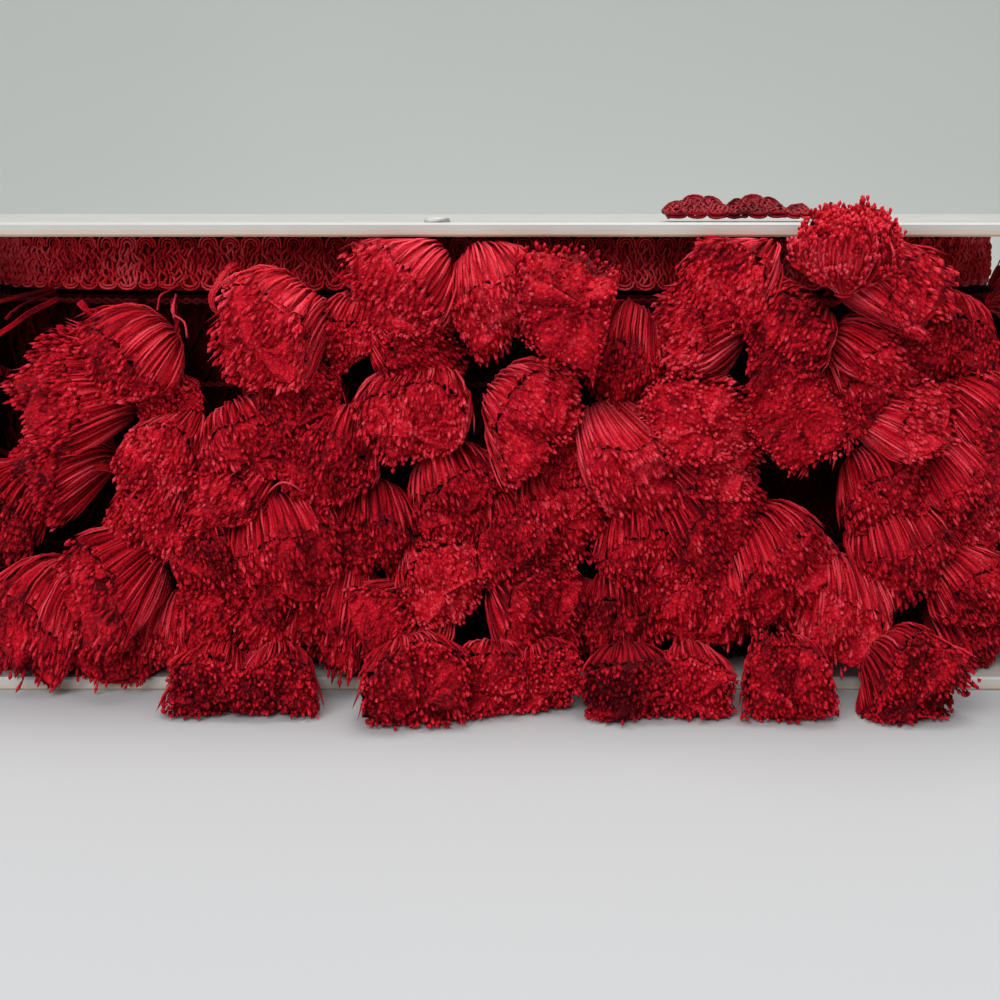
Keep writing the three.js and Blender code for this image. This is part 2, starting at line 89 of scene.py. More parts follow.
# Tassels at the front, a table for each tier, from left to right as a rule.
# Columns: place along the wall and height of the neck (mm), then lean from
# straight down towards +X, rise off the wall (degrees), and size.
FRONT_TIERS = [
    [
        (-76, 83, -65, 42, 1), (-44, 88, -60, 70, 1.15), (-30, 91, -20, 72, 0.65),
        (-25, 84, 82, 48, 0.8), (15, 84, 190, 68, 1.15), (33, 90, 10, 50, 0.85),
        (60, 85, -97, 43, 0.95), (74, 86, -80, 60, 1.05), (80, 77, 0, 55, 0.8),
        (82, 82, 84, 50, 0.9), (104, 90, -30, 50, 0.85),
    ],
    [
        (-85, 67, -104, 42, 1.1), (-78, 71, 30, 75, 0.6), (-73, 62, -60, 72, 0.9),
        (-59, 62, 60, 72, 0.9), (-48, 72, 20, 60, 0.8), (-35, 61, -85, 66, 0.95),
        (-17, 71, -20, 78, 1.05), (4, 67, 95, 70, 1.05), (17, 62, -20, 62, 0.75),
        (25, 64, 40, 48, 1.15), (43, 62, 165, 68, 0.95), (76, 64, 180, 66, 1),
        (87, 64, 110, 48, 0.95), (104, 70, 60, 60, 0.95),
    ],
    [
        (-108, 48, -35, 60, 0.8), (-90, 55, -108, 45, 0.9), (-74, 48, -40, 48, 0.85),
        (-55, 50, -85, 68, 0.95), (-53, 42, 3, 50, 1.15), (-28, 47, 13, 48, 0.85),
        (-11, 55, 36, 48, 0.9), (14, 50, 30, 60, 0.85), (44, 55, 65, 50, 0.9),
        (44, 46, 70, 50, 1), (88, 54, 35, 62, 0.8), (103, 56, 45, 60, 0.9),
    ],
    [
        (-97, 25, -20, 58, 1.1), (-81, 30, -48, 42, 1.05), (-66, 35, 25, 55, 0.85),
        (-50, 21, -28, 60, 0.8), (-34, 29, -4, 45, 0.95), (-15, 28, -20, 74, 0.85),
        (3, 41, 35, 50, 0.9), (4, 23, 88, 56, 0.95), (18, 24, 20, 70, 0.8),
        (36, 40, 0, 50, 0.95), (30, 22, -10, 66, 0.8), (51, 33, -9, 50, 0.95),
        (62, 38, 40, 46, 1.05), (82, 29, 9, 50, 1), (92, 42, 23, 48, 0.95),
        (108, 41, 53, 62, 0.7), (108, 26, 20, 62, 0.9),
    ],
    [
        (-87, 18, -10, 65, 0.8), (-75, 20, 0, 60, 0.75), (-64, 18, 10, 66, 0.75),
        (-16, 19, -24, 58, 0.95), (108, 14, 30, 68, 0.8), (-110, 15, -20, 68, 0.9),
    ],
]

# Tassels that hang clear of the boards' edges. Columns: tier, place along the wall,
# height and distance of the neck from the wall (mm), lean and rise (degrees), size.
PROUD_TASSELS = [
    (0, -12, 101, 6, -58, 38, 1),
    (0, -3, 102, 7, 38, 50, 0.9),
    (0, 63, 102, 9, -30, 42, 0.9),
    (0, 80, 96, 25.5, 178, 20, 0.72),
    (0, 82, 97, 14, 66, 46, 1),
]

# Tassels that lie on the floor along the front: place along the wall, lean, size.
FLOOR_TASSELS = [
    (-64, -8, 0.85), (-50, 5, 0.85), (-20, 0, 1.15), (1, 5, 0.85), (11, 5, 0.7),
    (32, -10, 0.95), (46, 10, 0.9), (68, -5, 1), (90, 5, 1.05),
]
FLOOR_NECK = {"out": 20.5, "height": 9, "rise": 80}

# The ends and the back, which follow the same tiers with made-up turns.
HIDDEN = {
    "start": 128, "end": 516, "per_tier": 21, "lean": 75, "rise_low": 42, "rise_high": 72,
    "size": 0.12, "height": 4, "step": 0.25,
}
HIDDEN_HEIGHTS = [90, 73, 55, 37, 20]
HIDDEN_FLOOR = {"start": 236, "end": 398, "count": 7, "lean": 12}

# Loose end of the heading, banked up in humps on the upper board and over its front rim.
# Columns: centre of the braid (mm), the turn of its width from Y towards X, and the
# bank of its far edge above its near one (degrees).
LOOSE_END = [
    (41, -55, 112.9, 0, 5), (43.5, -55, 113.8, 0, 13), (48, -55, 114.5, 0, 19),
    (53, -55, 114.3, 0, 17), (56.3, -55, 113.3, 0, 8), (58.7, -55, 114.2, 0, 16),
    (63, -55, 114.7, 0, 20), (67, -55, 114.2, 0, 15), (70.2, -55, 113, 0, 5),
    (72.6, -55.2, 113.6, 6, 11), (75, -56, 112.8, 18, 3), (78.4, -58, 112.7, 38, 0),
    (81.4, -62, 112.8, 64, 0), (83, -67.2, 113.2, 84, 0), (83.4, -69.8, 110.6, 90, 0),
    (83.4, -69.8, 106, 90, 0),
]

# Stray yarns in front of the wound braid. Each has its number of strands, how far they
# lie apart at its start and at its end, its tone, and points along it (mm).
STRAY_YARNS = [
    (14, 1.1, 0.35, 0.6, [
        (-59.7, -57, 100.8), (-61.3, -59, 99.7), (-63.4, -60, 96.7), (-65.1, -60, 93.7),
        (-64.6, -58, 90.3), (-62.2, -54, 87.6),
    ]),
    (9, 0.8, 0.5, 0.5, [(-94.8, -66, 92.9), (-93.1, -65, 90.8), (-90.3, -61, 87.0)]),
    (1, 0, 0, 0.6, [(-93, -65, 91.2), (-91, -64, 90.5), (-89.5, -60, 86)]),
    (1, 0, 0, 0.5, [
        (-78.8, -56, 90.3), (-78, -56, 93.7), (-76.3, -54, 94.8), (-74.2, -49, 96),
    ]),
    (1, 0, 0, 0.8, [
        (-76.6, -48, 92.4), (-75.1, -56, 89.7), (-72.2, -58, 87.7), (-71.6, -58, 84),
    ]),
    (1, 0, 0, 0.8, [(-75.7, -48, 93.6), (-75.3, -54, 92), (-74.9, -56, 88.4)]),
    (1, 0, 0, 0.7, [(-83.9, -59, 88.6), (-80.8, -60, 87.9), (-78.3, -57, 86.8)]),
    (3, 0.4, 0.4, 0.1, [(-118, -58, 91.7), (-112.6, -55, 93.2), (-105.2, -48, 95)]),
    (4, 0.5, 0.5, 0.25, [
        (-118, -62, 83.2), (-112.7, -59, 86.9), (-109.5, -55, 89.6), (-104.1, -48, 92.6),
    ]),
    (2, 0.4, 0.4, 0.1, [(-114.6, -56, 88.1), (-111.2, -55, 91.6), (-104.7, -48, 94.6)]),
    (12, 1.0, 0.5, 0.5, [(-93.2, -66, 54.6), (-91.1, -64, 54.1), (-86.3, -58, 51.4)]),
    (1, 0, 0, 0.9, [(-51.7, -71, 49), (-48.1, -76, 52.3), (-45.4, -76, 52), (-42.6, -71, 49)]),
    (3, 0.5, 0.5, 0.05, [
        (63.3, -49, 58), (63.2, -60, 65.9), (66.3, -62, 69.7), (70, -60, 66.6), (71.1, -49, 58.7),
    ]),
    (2, 0.4, 0.4, 0.2, [
        (65.3, -49, 57.7), (65.2, -64, 65.7), (68.8, -64, 68.8), (72.7, -60, 64.7), (74.9, -49, 58.2),
    ]),
    (2, 0.4, 0.4, 0.05, [(62.3, -49, 61.2), (64.3, -60, 69.9), (68, -60, 70.6), (72.4, -49, 68.2)]),
    (7, 0.9, 0.9, 0.35, [
        (-62.5, -52, 89.3), (-60.5, -60, 93.4), (-56.6, -61, 94.7), (-53.2, -59, 93.6),
        (-51.9, -52, 89.3),
    ]),
    (2, 0.3, 0.5, 0.1, [(77.5, -69, 115.5), (76.1, -69.6, 113.2), (74.1, -69.9, 110), (73.5, -66, 105)]),
]
STRAY = {"radius": 0.3, "ripple": 0.2, "ripples": 5, "tones": 0.08, "seed": 77}

# Flake of coating that stands on the upper board's front edge: low and high corner (mm),
# its outlines from below to above, in parts of its half height, and how ragged they are.
CHIP = ((-15, -65.2, 111.1), (-9.2, -61.5, 112.3))
CHIP_LEVELS = (-1.0, -0.3, 0.4, 0.9)
CHIP_EDGE = {"points": 14, "ragged": 0.16, "narrowing": 0.8, "least": 0.05, "seed": 5}

# The camera stands in front and a little above.
CAMERA = {"place": (2.3, -465, 118.8), "pitch": 10.27, "lens": 62, "sensor": 36}

# Soft lights: place and size (metres), power (watts) and colour. All look at one point.
LIT_POINT = (0, 0, 0.05)
LIGHTS = {
    "key": ((0.15, 0.12, 1.2), (0.8, 0.7), 10.5, (1, 0.98, 0.95)),
    "fill": ((-0.4, -1.15, 0.85), (1.0, 0.7), 14, (1, 0.98, 0.97)),
}
SURROUND = {"colour": (0.86, 0.9, 0.9, 1), "strength": 0.44}

# Floor and backdrop (metres): the bend between them, and how far they run.
STAGE = {"bend": 0.9, "start": 0.7, "half": 4, "front": -3, "top": 4, "steps": 24}

# Pairs of colours that a plain surface drifts between.
TABLE_TONES = ((0.475, 0.495, 0.52), (0.51, 0.525, 0.54))
WALL_TONES = ((0.62, 0.64, 0.62), (0.645, 0.67, 0.655))
CREAM_TONES = ((0.50, 0.41, 0.33), (0.57, 0.48, 0.40))
WHITE_TONES = ((0.48, 0.475, 0.46), (0.53, 0.525, 0.505))
# A board is cream below the first of these parts of its thickness, white above the second.
CREAM_TO_WHITE = (0.42, 0.52)

# Yarns: colours in shade, in plain light and at their brightest, then roughness,
# sheen and specular level. Sheen and reflections are tinted red, as dyed yarn's are.
YARNS = {
    "tassel_yarn": (
        (0.055, 0.0005, 0.0025), (0.62, 0.0065, 0.02), (1.0, 0.09, 0.13), 0.62, 0.1, 0.18,
    ),
    # The heading and the loose end are one braid: the heading's yarn is painted lighter than the loose
    # end's, painted light for the heading in the board's shade.
    "heading_yarn_painted_light": (
        (0.1, 0.002, 0.005), (0.72, 0.015, 0.027), (0.95, 0.12, 0.15), 0.45, 0.05, 0.35,
    ),
    "loose_yarn": (
        (0.03, 0.001, 0.002), (0.27, 0.005, 0.011), (0.6, 0.04, 0.055), 0.45, 0.05, 0.3,
    ),
    # Near-black: painted shade for the netting deep under the fringe.
    "netting_yarn_painted_shade": (
        (0.012, 0.0002, 0.0005), (0.09, 0.0015, 0.004), (0.2, 0.004, 0.01), 0.9, 0.02, 0.05,
    ),
}
SHEEN_TINT = (1.0, 0.14, 0.2, 1)
SPECULAR_TINT = (1.0, 0.3, 0.36, 1)


# Camera, lights and stage

def add_camera():
    data = bpy.data.cameras.new("camera")
    data.lens = CAMERA["lens"]
    data.sensor_width = CAMERA["sensor"]
    data.clip_start = 0.01
    data.clip_end = 20
    camera = bpy.data.objects.new("camera", data)
    camera.location = [value * MM for value in CAMERA["place"]]
    camera.rotation_euler = (math.radians(90 - CAMERA["pitch"]), 0, 0)
    bpy.context.scene.collection.objects.link(camera)
    bpy.context.scene.camera = camera


def add_area_light(name, place, size, energy, colour):
    """A soft rectangular light that looks at the lit point."""
    data = bpy.data.lights.new(name, "AREA")
    data.shape = "RECTANGLE"
    data.size, data.size_y = size
    data.energy = energy
    data.color = colour
    light = bpy.data.objects.new(name, data)
    light.location = place
    away = np.array(place) - np.array(LIT_POINT)
    flat = math.hypot(away[0], away[1])
    light.rotation_euler = (math.atan2(flat, away[2]), 0, math.atan2(away[0], -away[1]))
    bpy.context.scene.collection.objects.link(light)


def add_lights():
    world = bpy.data.worlds.new("studio")
    world.use_nodes = True
    background = world.node_tree.nodes["Background"]
    background.inputs["Color"].default_value = SURROUND["colour"]
    background.inputs["Strength"].default_value = SURROUND["strength"]
    bpy.context.scene.world = world
    for name, light in LIGHTS.items():
        add_area_light(name, *light)


def add_stage():
    """A pale floor that turns up into a backdrop."""
    bend, start, half, front, top, steps = STAGE.values()
    profile = [(front, 0), (start, 0)]
    for k in range(1, steps + 1):
        angle = 0.5 * math.pi * k / steps
        profile.append((start + bend * math.sin(angle), bend * (1 - math.cos(angle))))
    profile.append((start + bend, top))
    points = [(x, y, z) for y, z in profile for x in (-half, half)]
    faces = [(2 * k, 2 * k + 1, 2 * k + 3, 2 * k + 2) for k in range(len(profile) - 1)]
    mesh = bpy.data.meshes.new("floor")
    mesh.from_pydata(points, [], faces)
    mesh.polygons.foreach_set("use_smooth", [True] * len(faces))
    mesh.materials.append(floor_material())
    floor = bpy.data.objects.new("floor", mesh)
    bpy.context.scene.collection.objects.link(floor)


# Materials

class Finish:
    """A node material with a principled shader, built a node at a time."""

    def __init__(self, name, roughness, **uniform):
        self.material = bpy.data.materials.new(name)
        self.material.use_nodes = True
        self.tree = self.material.node_tree
        self.shader = self.tree.nodes["Principled BSDF"]
        self.shader.inputs["Roughness"].default_value = roughness
        for socket, value in uniform.items():
            self.shader.inputs[socket.replace("_", " ")].default_value = value

    def node(self, kind, **settings):
        made = self.tree.nodes.new(kind)
        for name, value in settings.items():
            setattr(made, name, value)
        return made

    def feed(self, socket, source):
        """Gives an input a number, a colour, or another node's output."""
        if isinstance(source, bpy.types.NodeSocket):
            self.tree.links.new(source, socket)
        else:
            socket.default_value = source

    def places(self):
        return self.node("ShaderNodeTexCoord").outputs["Object"]

    def noise(self, scale, detail=3):
        """Noise over the object's own coordinates (metres)."""
        noise = self.node("ShaderNodeTexNoise")
        noise.inputs["Scale"].default_value = scale
        noise.inputs["Detail"].default_value = detail
        self.feed(noise.inputs["Vector"], self.places())
        return noise.outputs["Fac"]

    def lumps(self, scale):
        """Distance to the nearest of many scattered points, about scale of them to a metre."""
        cells = self.node("ShaderNodeTexVoronoi")
        cells.inputs["Scale"].default_value = scale
        self.feed(cells.inputs["Vector"], self.places())
        return cells.outputs["Distance"]

    def value(self, name):
        """A value stored on the mesh's points."""
        return self.node("ShaderNodeAttribute", attribute_name=name).outputs["Fac"]

    def span(self, source, low, high, to_low=0.0, to_high=1.0):
        """A value moved from one range to another, and kept inside it."""
        change = self.node("ShaderNodeMapRange")
        self.feed(change.inputs["Value"], source)
        numbers = (low, high, to_low, to_high)
        for socket, number in zip(("From Min", "From Max", "To Min", "To Max"), numbers):
            change.inputs[socket].default_value = number
        return change.outputs["Result"]

    def sum(self, a, b, operation="ADD"):
        maths = self.node("ShaderNodeMath", operation=operation)
        for socket, source in zip(maths.inputs, (a, b)):
            self.feed(socket, source)
        return maths.outputs["Value"]

    def product(self, a, b):
        return self.sum(a, b, "MULTIPLY")

    def ramp(self, source, places, colours):
        """Colours along a value, each at its own place."""
        ramp = self.node("ShaderNodeValToRGB")
        elements = ramp.color_ramp.elements
        while len(elements) < len(colours):
            elements.new(0.5)
        for element, place, colour in zip(elements, places, colours):
            element.position = place
            element.color = (*colour, 1)
        self.feed(ramp.inputs["Fac"], source)
        return ramp.outputs["Color"]

    def mix(self, factor, a, b):
        """Two colours mixed. The node's colour sockets share their names, so they go by number."""
        mix = self.node("ShaderNodeMix", data_type="RGBA")
        factor_in, a_in, b_in, colour_out = 0, 6, 7, 2
        for socket, source in ((factor_in, factor), (a_in, a), (b_in, b)):
            self.feed(mix.inputs[socket], source)
        return mix.outputs[colour_out]

    def colour(self, source):
        self.feed(self.shader.inputs["Base Color"], source)

    def rough(self, source):
        self.feed(self.shader.inputs["Roughness"], source)

    def bump(self, source, strength, distance):
        bump = self.node("ShaderNodeBump")
        bump.inputs["Strength"].default_value = strength
        bump.inputs["Distance"].default_value = distance
        self.feed(bump.inputs["Height"], source)
        self.feed(self.shader.inputs["Normal"], bump.outputs["Normal"])


def floor_material():
    finish = Finish("floor_paper", 0.6, Specular_IOR_Level=0.25)
    cloudy = finish.noise(1.6, detail=2)
    table = finish.ramp(cloudy, (0.35, 0.65), TABLE_TONES)
    wall = finish.ramp(cloudy, (0.35, 0.65), WALL_TONES)
    split = finish.node("ShaderNodeSeparateXYZ")
    finish.feed(split.inputs["Vector"], finish.places())
    finish.colour(finish.mix(finish.span(split.outputs["Y"], 0.05, 0.8), table, wall))
    finish.bump(finish.noise(60), 0.05, 0.001)
    return finish.material


def yarn_material(name, dark, mid, light, roughness, sheen, specular):
    """Twisted yarn whose tone changes from strand to strand, crumbly where it frays, with painted shade
    in the pits between its lumps.
    """
    finish = Finish(
        name, roughness, Sheen_Weight=sheen, Sheen_Roughness=0.45, Sheen_Tint=SHEEN_TINT,
        Specular_IOR_Level=specular, Specular_Tint=SPECULAR_TINT,
    )
    patchy = finish.span(finish.noise(120, detail=0), 0.2, 0.8, -0.14, 0.14)
    tone = finish.sum(finish.value("tone"), patchy)
    fibres = finish.noise(2600, detail=1)
    tone = finish.sum(tone, finish.span(fibres, 0.3, 0.7, -0.12, 0.12))
    fray = finish.value("fray")
    lumps = finish.lumps(1000)
    # Painted shade: hollows between lumps are painted darker, their middles lighter.
    pit_shade = finish.span(lumps, 0.15, 0.75, 0.1, -0.18)
    tone = finish.sum(tone, finish.product(pit_shade, fray))
    finish.colour(finish.ramp(tone, (0.0, 0.5, 1.0), (dark, mid, light)))
    relief = finish.product(finish.span(lumps, 0.1, 0.8, 1.0, 0.0), fray)
    relief = finish.sum(relief, finish.span(fibres, 0.2, 0.8, 0.0, 0.4))
    finish.bump(relief, 0.8, 0.0005)
    return finish.material


def board_material(name, low):
    """White, turning cream and a little darker along the lower part of the rim, on a board whose foot is
    at low.
    """
    finish = Finish(name, 0.38, Specular_IOR_Level=0.4)
    split = finish.node("ShaderNodeSeparateXYZ")
    finish.feed(split.inputs["Vector"], finish.places())
    ragged = finish.span(finish.noise(90, detail=4), 0.3, 0.7, -0.00025, 0.00025)
    height = finish.sum(split.outputs["Z"], ragged)
    white_share = finish.span(height, *(low + part * BOARD_THICK * MM for part in CREAM_TO_WHITE))
    mottled = finish.noise(45, detail=5)
    cream = finish.ramp(mottled, (0.3, 0.7), CREAM_TONES)
    white = finish.ramp(mottled, (0.3, 0.7), WHITE_TONES)
    finish.colour(finish.mix(white_share, cream, white))
    finish.rough(finish.span(mottled, 0.2, 0.8, 0.3, 0.5))
    finish.bump(finish.noise(220, detail=4), 0.12, 0.0004)
    return finish.material


# Mesh code

class Soup:
    """Points and faces gathered for one mesh, with a tone and a fray for each point."""

    def __init__(self):
        self.points = []
        self.tones = []
        self.frays = []
        self.faces = {3: [], 4: []}
        self.count = 0

    def add(self, points, tone, quads=None, triangles=None, fray=0.0):
        points = np.asarray(points, float).reshape(-1, 3)
        self.points.append(points)
        for kept, values in ((self.tones, tone), (self.frays, fray)):
            kept.append(np.broadcast_to(np.asarray(values, float).reshape(-1), (len(points),)))
        for size, faces in ((4, quads), (3, triangles)):
            if faces is not None:
                self.faces[size].append(np.asarray(faces, int).reshape(-1, size) + self.count)
        self.count += len(points)

    def tubes(self, paths, radii, tone, sides=3, turn=0.0, towards=None, end="flat"):
        """Yarns along paths (yarns, points, 3), with a radius and tone at each point.

        The end is open, flat, or a tip: then the last point of the path is its apex.
        """
        paths = np.asarray(paths, float)
        tips = paths[:, -1]
        heading = unit(np.gradient(paths, axis=1))
        tone = np.broadcast_to(tone, paths.shape[:2])
        if end == "tip":
            tip_tone = tone[:, -1]
            paths, heading, tone = paths[:, :-1], heading[:, :-1], tone[:, :-1]
        yarns, steps, _ = paths.shape
        radii = np.broadcast_to(radii, (yarns, steps))[..., None, None]
        if towards is None:
            towards = unit(across(tips - paths[:, 0]))[:, None, :]
        side = unit(np.cross(heading, np.broadcast_to(towards, paths.shape)))
        other = np.cross(heading, side)
        angle = np.broadcast_to(turn, (yarns,))[:, None] + 2 * math.pi * np.arange(sides) / sides
        cosine = np.cos(angle)[:, None, :, None]
        sine = np.sin(angle)[:, None, :, None]
        rings = cosine * side[:, :, None, :] + sine * other[:, :, None, :]
        points = (paths[:, :, None, :] + radii * rings).reshape(-1, 3)
        tones = np.repeat(tone.reshape(-1), sides)
        index = np.arange(yarns * steps * sides).reshape(yarns, steps, sides)
        onward = np.roll(index, -1, axis=2)
        quads = np.stack(
            [index[:, :-1], onward[:, :-1], onward[:, 1:], index[:, 1:]], axis=-1
        )
        last = index[:, -1]
        triangles = None
        if end == "flat":
            triangles = np.concatenate([last[:, [0, k, k + 1]] for k in range(1, sides - 1)])
        if end == "tip":
            apex = np.repeat(len(points) + np.arange(yarns)[:, None], sides, axis=1)
            triangles = np.stack([last, onward[:, -1], apex], axis=-1)
            points = np.concatenate([points, tips])
            tones = np.concatenate([tones, tip_tone])
        self.add(points, tones, quads, triangles)

    def loft(self, rings, tone, capped=True, fray=0.0):
        """A skin over rings (rings, points, 3), in order about the way they advance."""
        rings = np.asarray(rings, float)
        rows, count, _ = rings.shape
        index = np.arange(rows * count).reshape(rows, count)
        onward = np.roll(index, -1, axis=1)
        quads = np.stack([index[:-1], onward[:-1], onward[1:], index[1:]], axis=-1)
        triangles = None
        if capped:
            fan = np.arange(1, count - 1)
            first = np.stack([0 * fan, fan + 1, fan], axis=-1)
            last = np.stack([0 * fan, fan, fan + 1], axis=-1) + index[-1, 0]
            triangles = np.concatenate([first, last])
        self.add(rings, tone, quads, triangles, fray)

    def keep_above(self, level):
        self.points = [np.maximum(points, [-np.inf, -np.inf, level]) for points in self.points]

    def piece(self, name, material, replaced=()):
        """The gathered mesh as a piece on the reel's one body."""
        points = np.concatenate(self.points) * MM
        groups = [np.concatenate(faces) for faces in self.faces.values() if faces]
        corners = np.concatenate([faces.reshape(-1) for faces in groups])
        sizes = np.concatenate([np.full(len(faces), faces.shape[1]) for faces in groups])
        starts = np.concatenate([[0], np.cumsum(sizes)[:-1]])
        mesh = bpy.data.meshes.new(name)
        mesh.vertices.add(len(points))
        mesh.vertices.foreach_set("co", points.astype(np.float32).reshape(-1))
        mesh.loops.add(len(corners))
        mesh.loops.foreach_set("vertex_index", corners.astype(np.int32))
        mesh.polygons.add(len(sizes))
        mesh.polygons.foreach_set("loop_start", starts.astype(np.int32))
        mesh.polygons.foreach_set("use_smooth", np.ones(len(sizes), bool))
        for label, values in (("tone", self.tones), ("fray", self.frays)):
            attribute = mesh.attributes.new(label, "FLOAT", "POINT")
            attribute.data.foreach_set("value", np.concatenate(values).astype(np.float32))
        mesh.update(calc_edges=True)
        mesh.materials.append(material)
        made = bpy.data.objects.new(name, mesh)
        bpy.context.scene.collection.objects.link(made)
        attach(made, "root")
        if replaced:
            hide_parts(*replaced)
        return made


def unit(vectors):
    lengths = np.linalg.norm(vectors, axis=-1, keepdims=True)
    return vectors / np.maximum(lengths, 1e-9)


def across(vectors):
    """For each vector, one at right angles to it."""
    lying = np.abs(vectors[..., 2:3]) < 0.7 * np.linalg.norm(vectors, axis=-1, keepdims=True)
    return np.cross(vectors, np.where(lying, [0.0, 0.0, 1.0], [1.0, 0.0, 0.0]))


def about(heading):
    """Two directions at right angles to a heading (of length 1) and to each other."""
    side = unit(across(heading))
    return side, np.cross(heading, side)


def jitter(n):
    """A steady value between -1 and 1 for each whole number."""
    wave = np.sin(np.asarray(n, float) * 12.9898) * 43758.5453
    return (wave - np.floor(wave)) * 2 - 1


# The wall of wound trim

def wall_at(s, out):
    """Point, outward normal and tangent at distance s around the wall, and out from it."""
    s, out = np.broadcast_arrays(np.asarray(s, float), np.asarray(out, float))
    rest = np.mod(s + STRAIGHT / 2, PERIMETER)
    back = rest >= STRAIGHT + HALF_TURN
    side = np.where(back, -1.0, 1.0)
    rest = np.where(back, rest - STRAIGHT - HALF_TURN, rest)
    angle = np.maximum(0, rest - STRAIGHT) / RADIUS
    along = np.minimum(rest, STRAIGHT) - STRAIGHT / 2
    level = np.zeros_like(s)
    normal = np.stack([side * np.sin(angle), -side * np.cos(angle), level], axis=-1)
    tangent = np.stack([side * np.cos(angle), side * np.sin(angle), level], axis=-1)
    point = normal * (RADIUS + out)[..., None]
    point[..., 0] += side * along
    return point, normal, tangent


def off_wall(points):
    """How far points are outside the wound wall, and which way is out."""
    core = np.clip(points[..., 0], -STRAIGHT / 2, STRAIGHT / 2)
    normal = np.stack([points[..., 0] - core, points[..., 1], 0 * core], axis=-1)
    length = np.linalg.norm(normal, axis=-1)
    return length - RADIUS, normal / np.maximum(length, 1e-9)[..., None]


# Laying the tassels

SECTORS = [
    ("front_left", -STRAIGHT / 2, 0),
    ("front_right", 0, STRAIGHT / 2),
    ("right_end", STRAIGHT / 2, STRAIGHT / 2 + HALF_TURN),
    ("back_right", STRAIGHT / 2 + HALF_TURN, STRAIGHT + HALF_TURN),
    ("back_left", STRAIGHT + HALF_TURN, 1.5 * STRAIGHT + HALF_TURN),
    ("left_end", 1.5 * STRAIGHT + HALF_TURN, 1.5 * STRAIGHT + 2 * HALF_TURN),
]


def tassel_rows():
    """One row a tassel: tier, place, height, out, lean, rise, size."""
    rows = []
    for tier, table in enumerate(FRONT_TIERS):
        for s, height, lean, rise, size in table:
            rows.append((tier, s, height, TASSEL["neck_out"], lean, rise, size))
    rows += PROUD_TASSELS
    lowest = len(TIER_HEIGHTS) - 1
    lying = (FLOOR_NECK["height"], FLOOR_NECK["out"])
    for s, lean, size in FLOOR_TASSELS:
        rows.append((lowest, s, *lying, lean, FLOOR_NECK["rise"], size))
    first, last, count, lean = HIDDEN_FLOOR.values()
    for k in range(count):
        s = first + (last - first) * (k + 0.5) / count
        rows.append((lowest, s, *lying, lean * jitter(k + 900), FLOOR_NECK["rise"], 1))
    low, high = HIDDEN["rise_low"], HIDDEN["rise_high"]
    for tier, height in enumerate(HIDDEN_HEIGHTS):
        for k in range(HIDDEN["per_tier"]):
            seed = 40 * tier + k
            step = k + (0.75 if tier % 2 else 0.25) + HIDDEN["step"] * jitter(seed)
            s = HIDDEN["start"] + (HIDDEN["end"] - HIDDEN["start"]) * step / HIDDEN["per_tier"]
            lean = HIDDEN["lean"] * jitter(seed + 300)
            rise = low + (high - low) * (0.5 + 0.5 * jitter(seed + 500))
            size = 1 + HIDDEN["size"] * jitter(seed + 700)
            neck = height + HIDDEN["height"] * jitter(seed + 200)
            rows.append((tier, s, neck, TASSEL["neck_out"], lean, rise, size))
    return np.array(rows, float)


# Necks further apart than this (mm) never meet.
NEAR = 60


class Layout:
    """Where each tassel's root, neck and tip lie."""

    def __init__(self, rows):
        tier, s, height, out, lean, rise, size = rows.T
        self.tier = tier.astype(int)
        self.size = size
        self.reach = TASSEL["length"] * size
        self.neck, self.normal, tangent = wall_at(s, out)
        self.neck[:, 2] = height
        down, off = np.radians(lean), np.radians(rise)
        direction = tangent * (np.sin(down) * np.cos(off))[:, None]
        direction[:, 2] -= np.cos(down) * np.cos(off)
        direction += self.normal * np.sin(off)[:, None]
        self.tip = self.neck + direction * self.reach[:, None]
        around = np.mod(s + STRAIGHT / 2, PERIMETER) - STRAIGHT / 2
        ends = np.array([end for _, _, end in SECTORS])
        self.sector = np.argmax(around[:, None] < ends[None, :], axis=1)
        margin = STRIP["margin"] + 2 * TASSEL["cord"]
        starts = np.array([start for _, start, _ in SECTORS])
        hold = np.clip(around, starts[self.sector] + margin, ends[self.sector] - margin)
        self.root, _, _ = wall_at(hold, TASSEL["root_out"])
        self.root[:, 2] = np.array(TIER_HEIGHTS)[self.tier]
        within = np.abs(self.neck[:, :2]) < (BOARD_HALF_LENGTH, BOARD_HALF_DEPTH)
        self.under_board = within.all(axis=1)
        apart = np.linalg.norm(self.neck[:, None] - self.neck[None], axis=-1)
        self.near = (apart <= NEAR) & ~np.eye(len(rows), dtype=bool)


# Round samples along each tassel: radius, and how far each one follows the tip.
SAMPLES = [(1.6, 0), (2.6, 0), (5.6, 0.5), (8.8, 1)]
RELAX = {"rounds": 90, "push": 0.35, "lie": 6.4, "settles": 3}
# Planes between brushes stand halfway, less a gap; a brush ends at a part of its way to
# another's cord, or a margin (mm) short of it. Only those nearer than their reach count.
PARTING = {"reach": 26, "gap": 0.75 * GAP, "cord_reach": 14, "cord_part": 0.6, "cord_margin": 2}


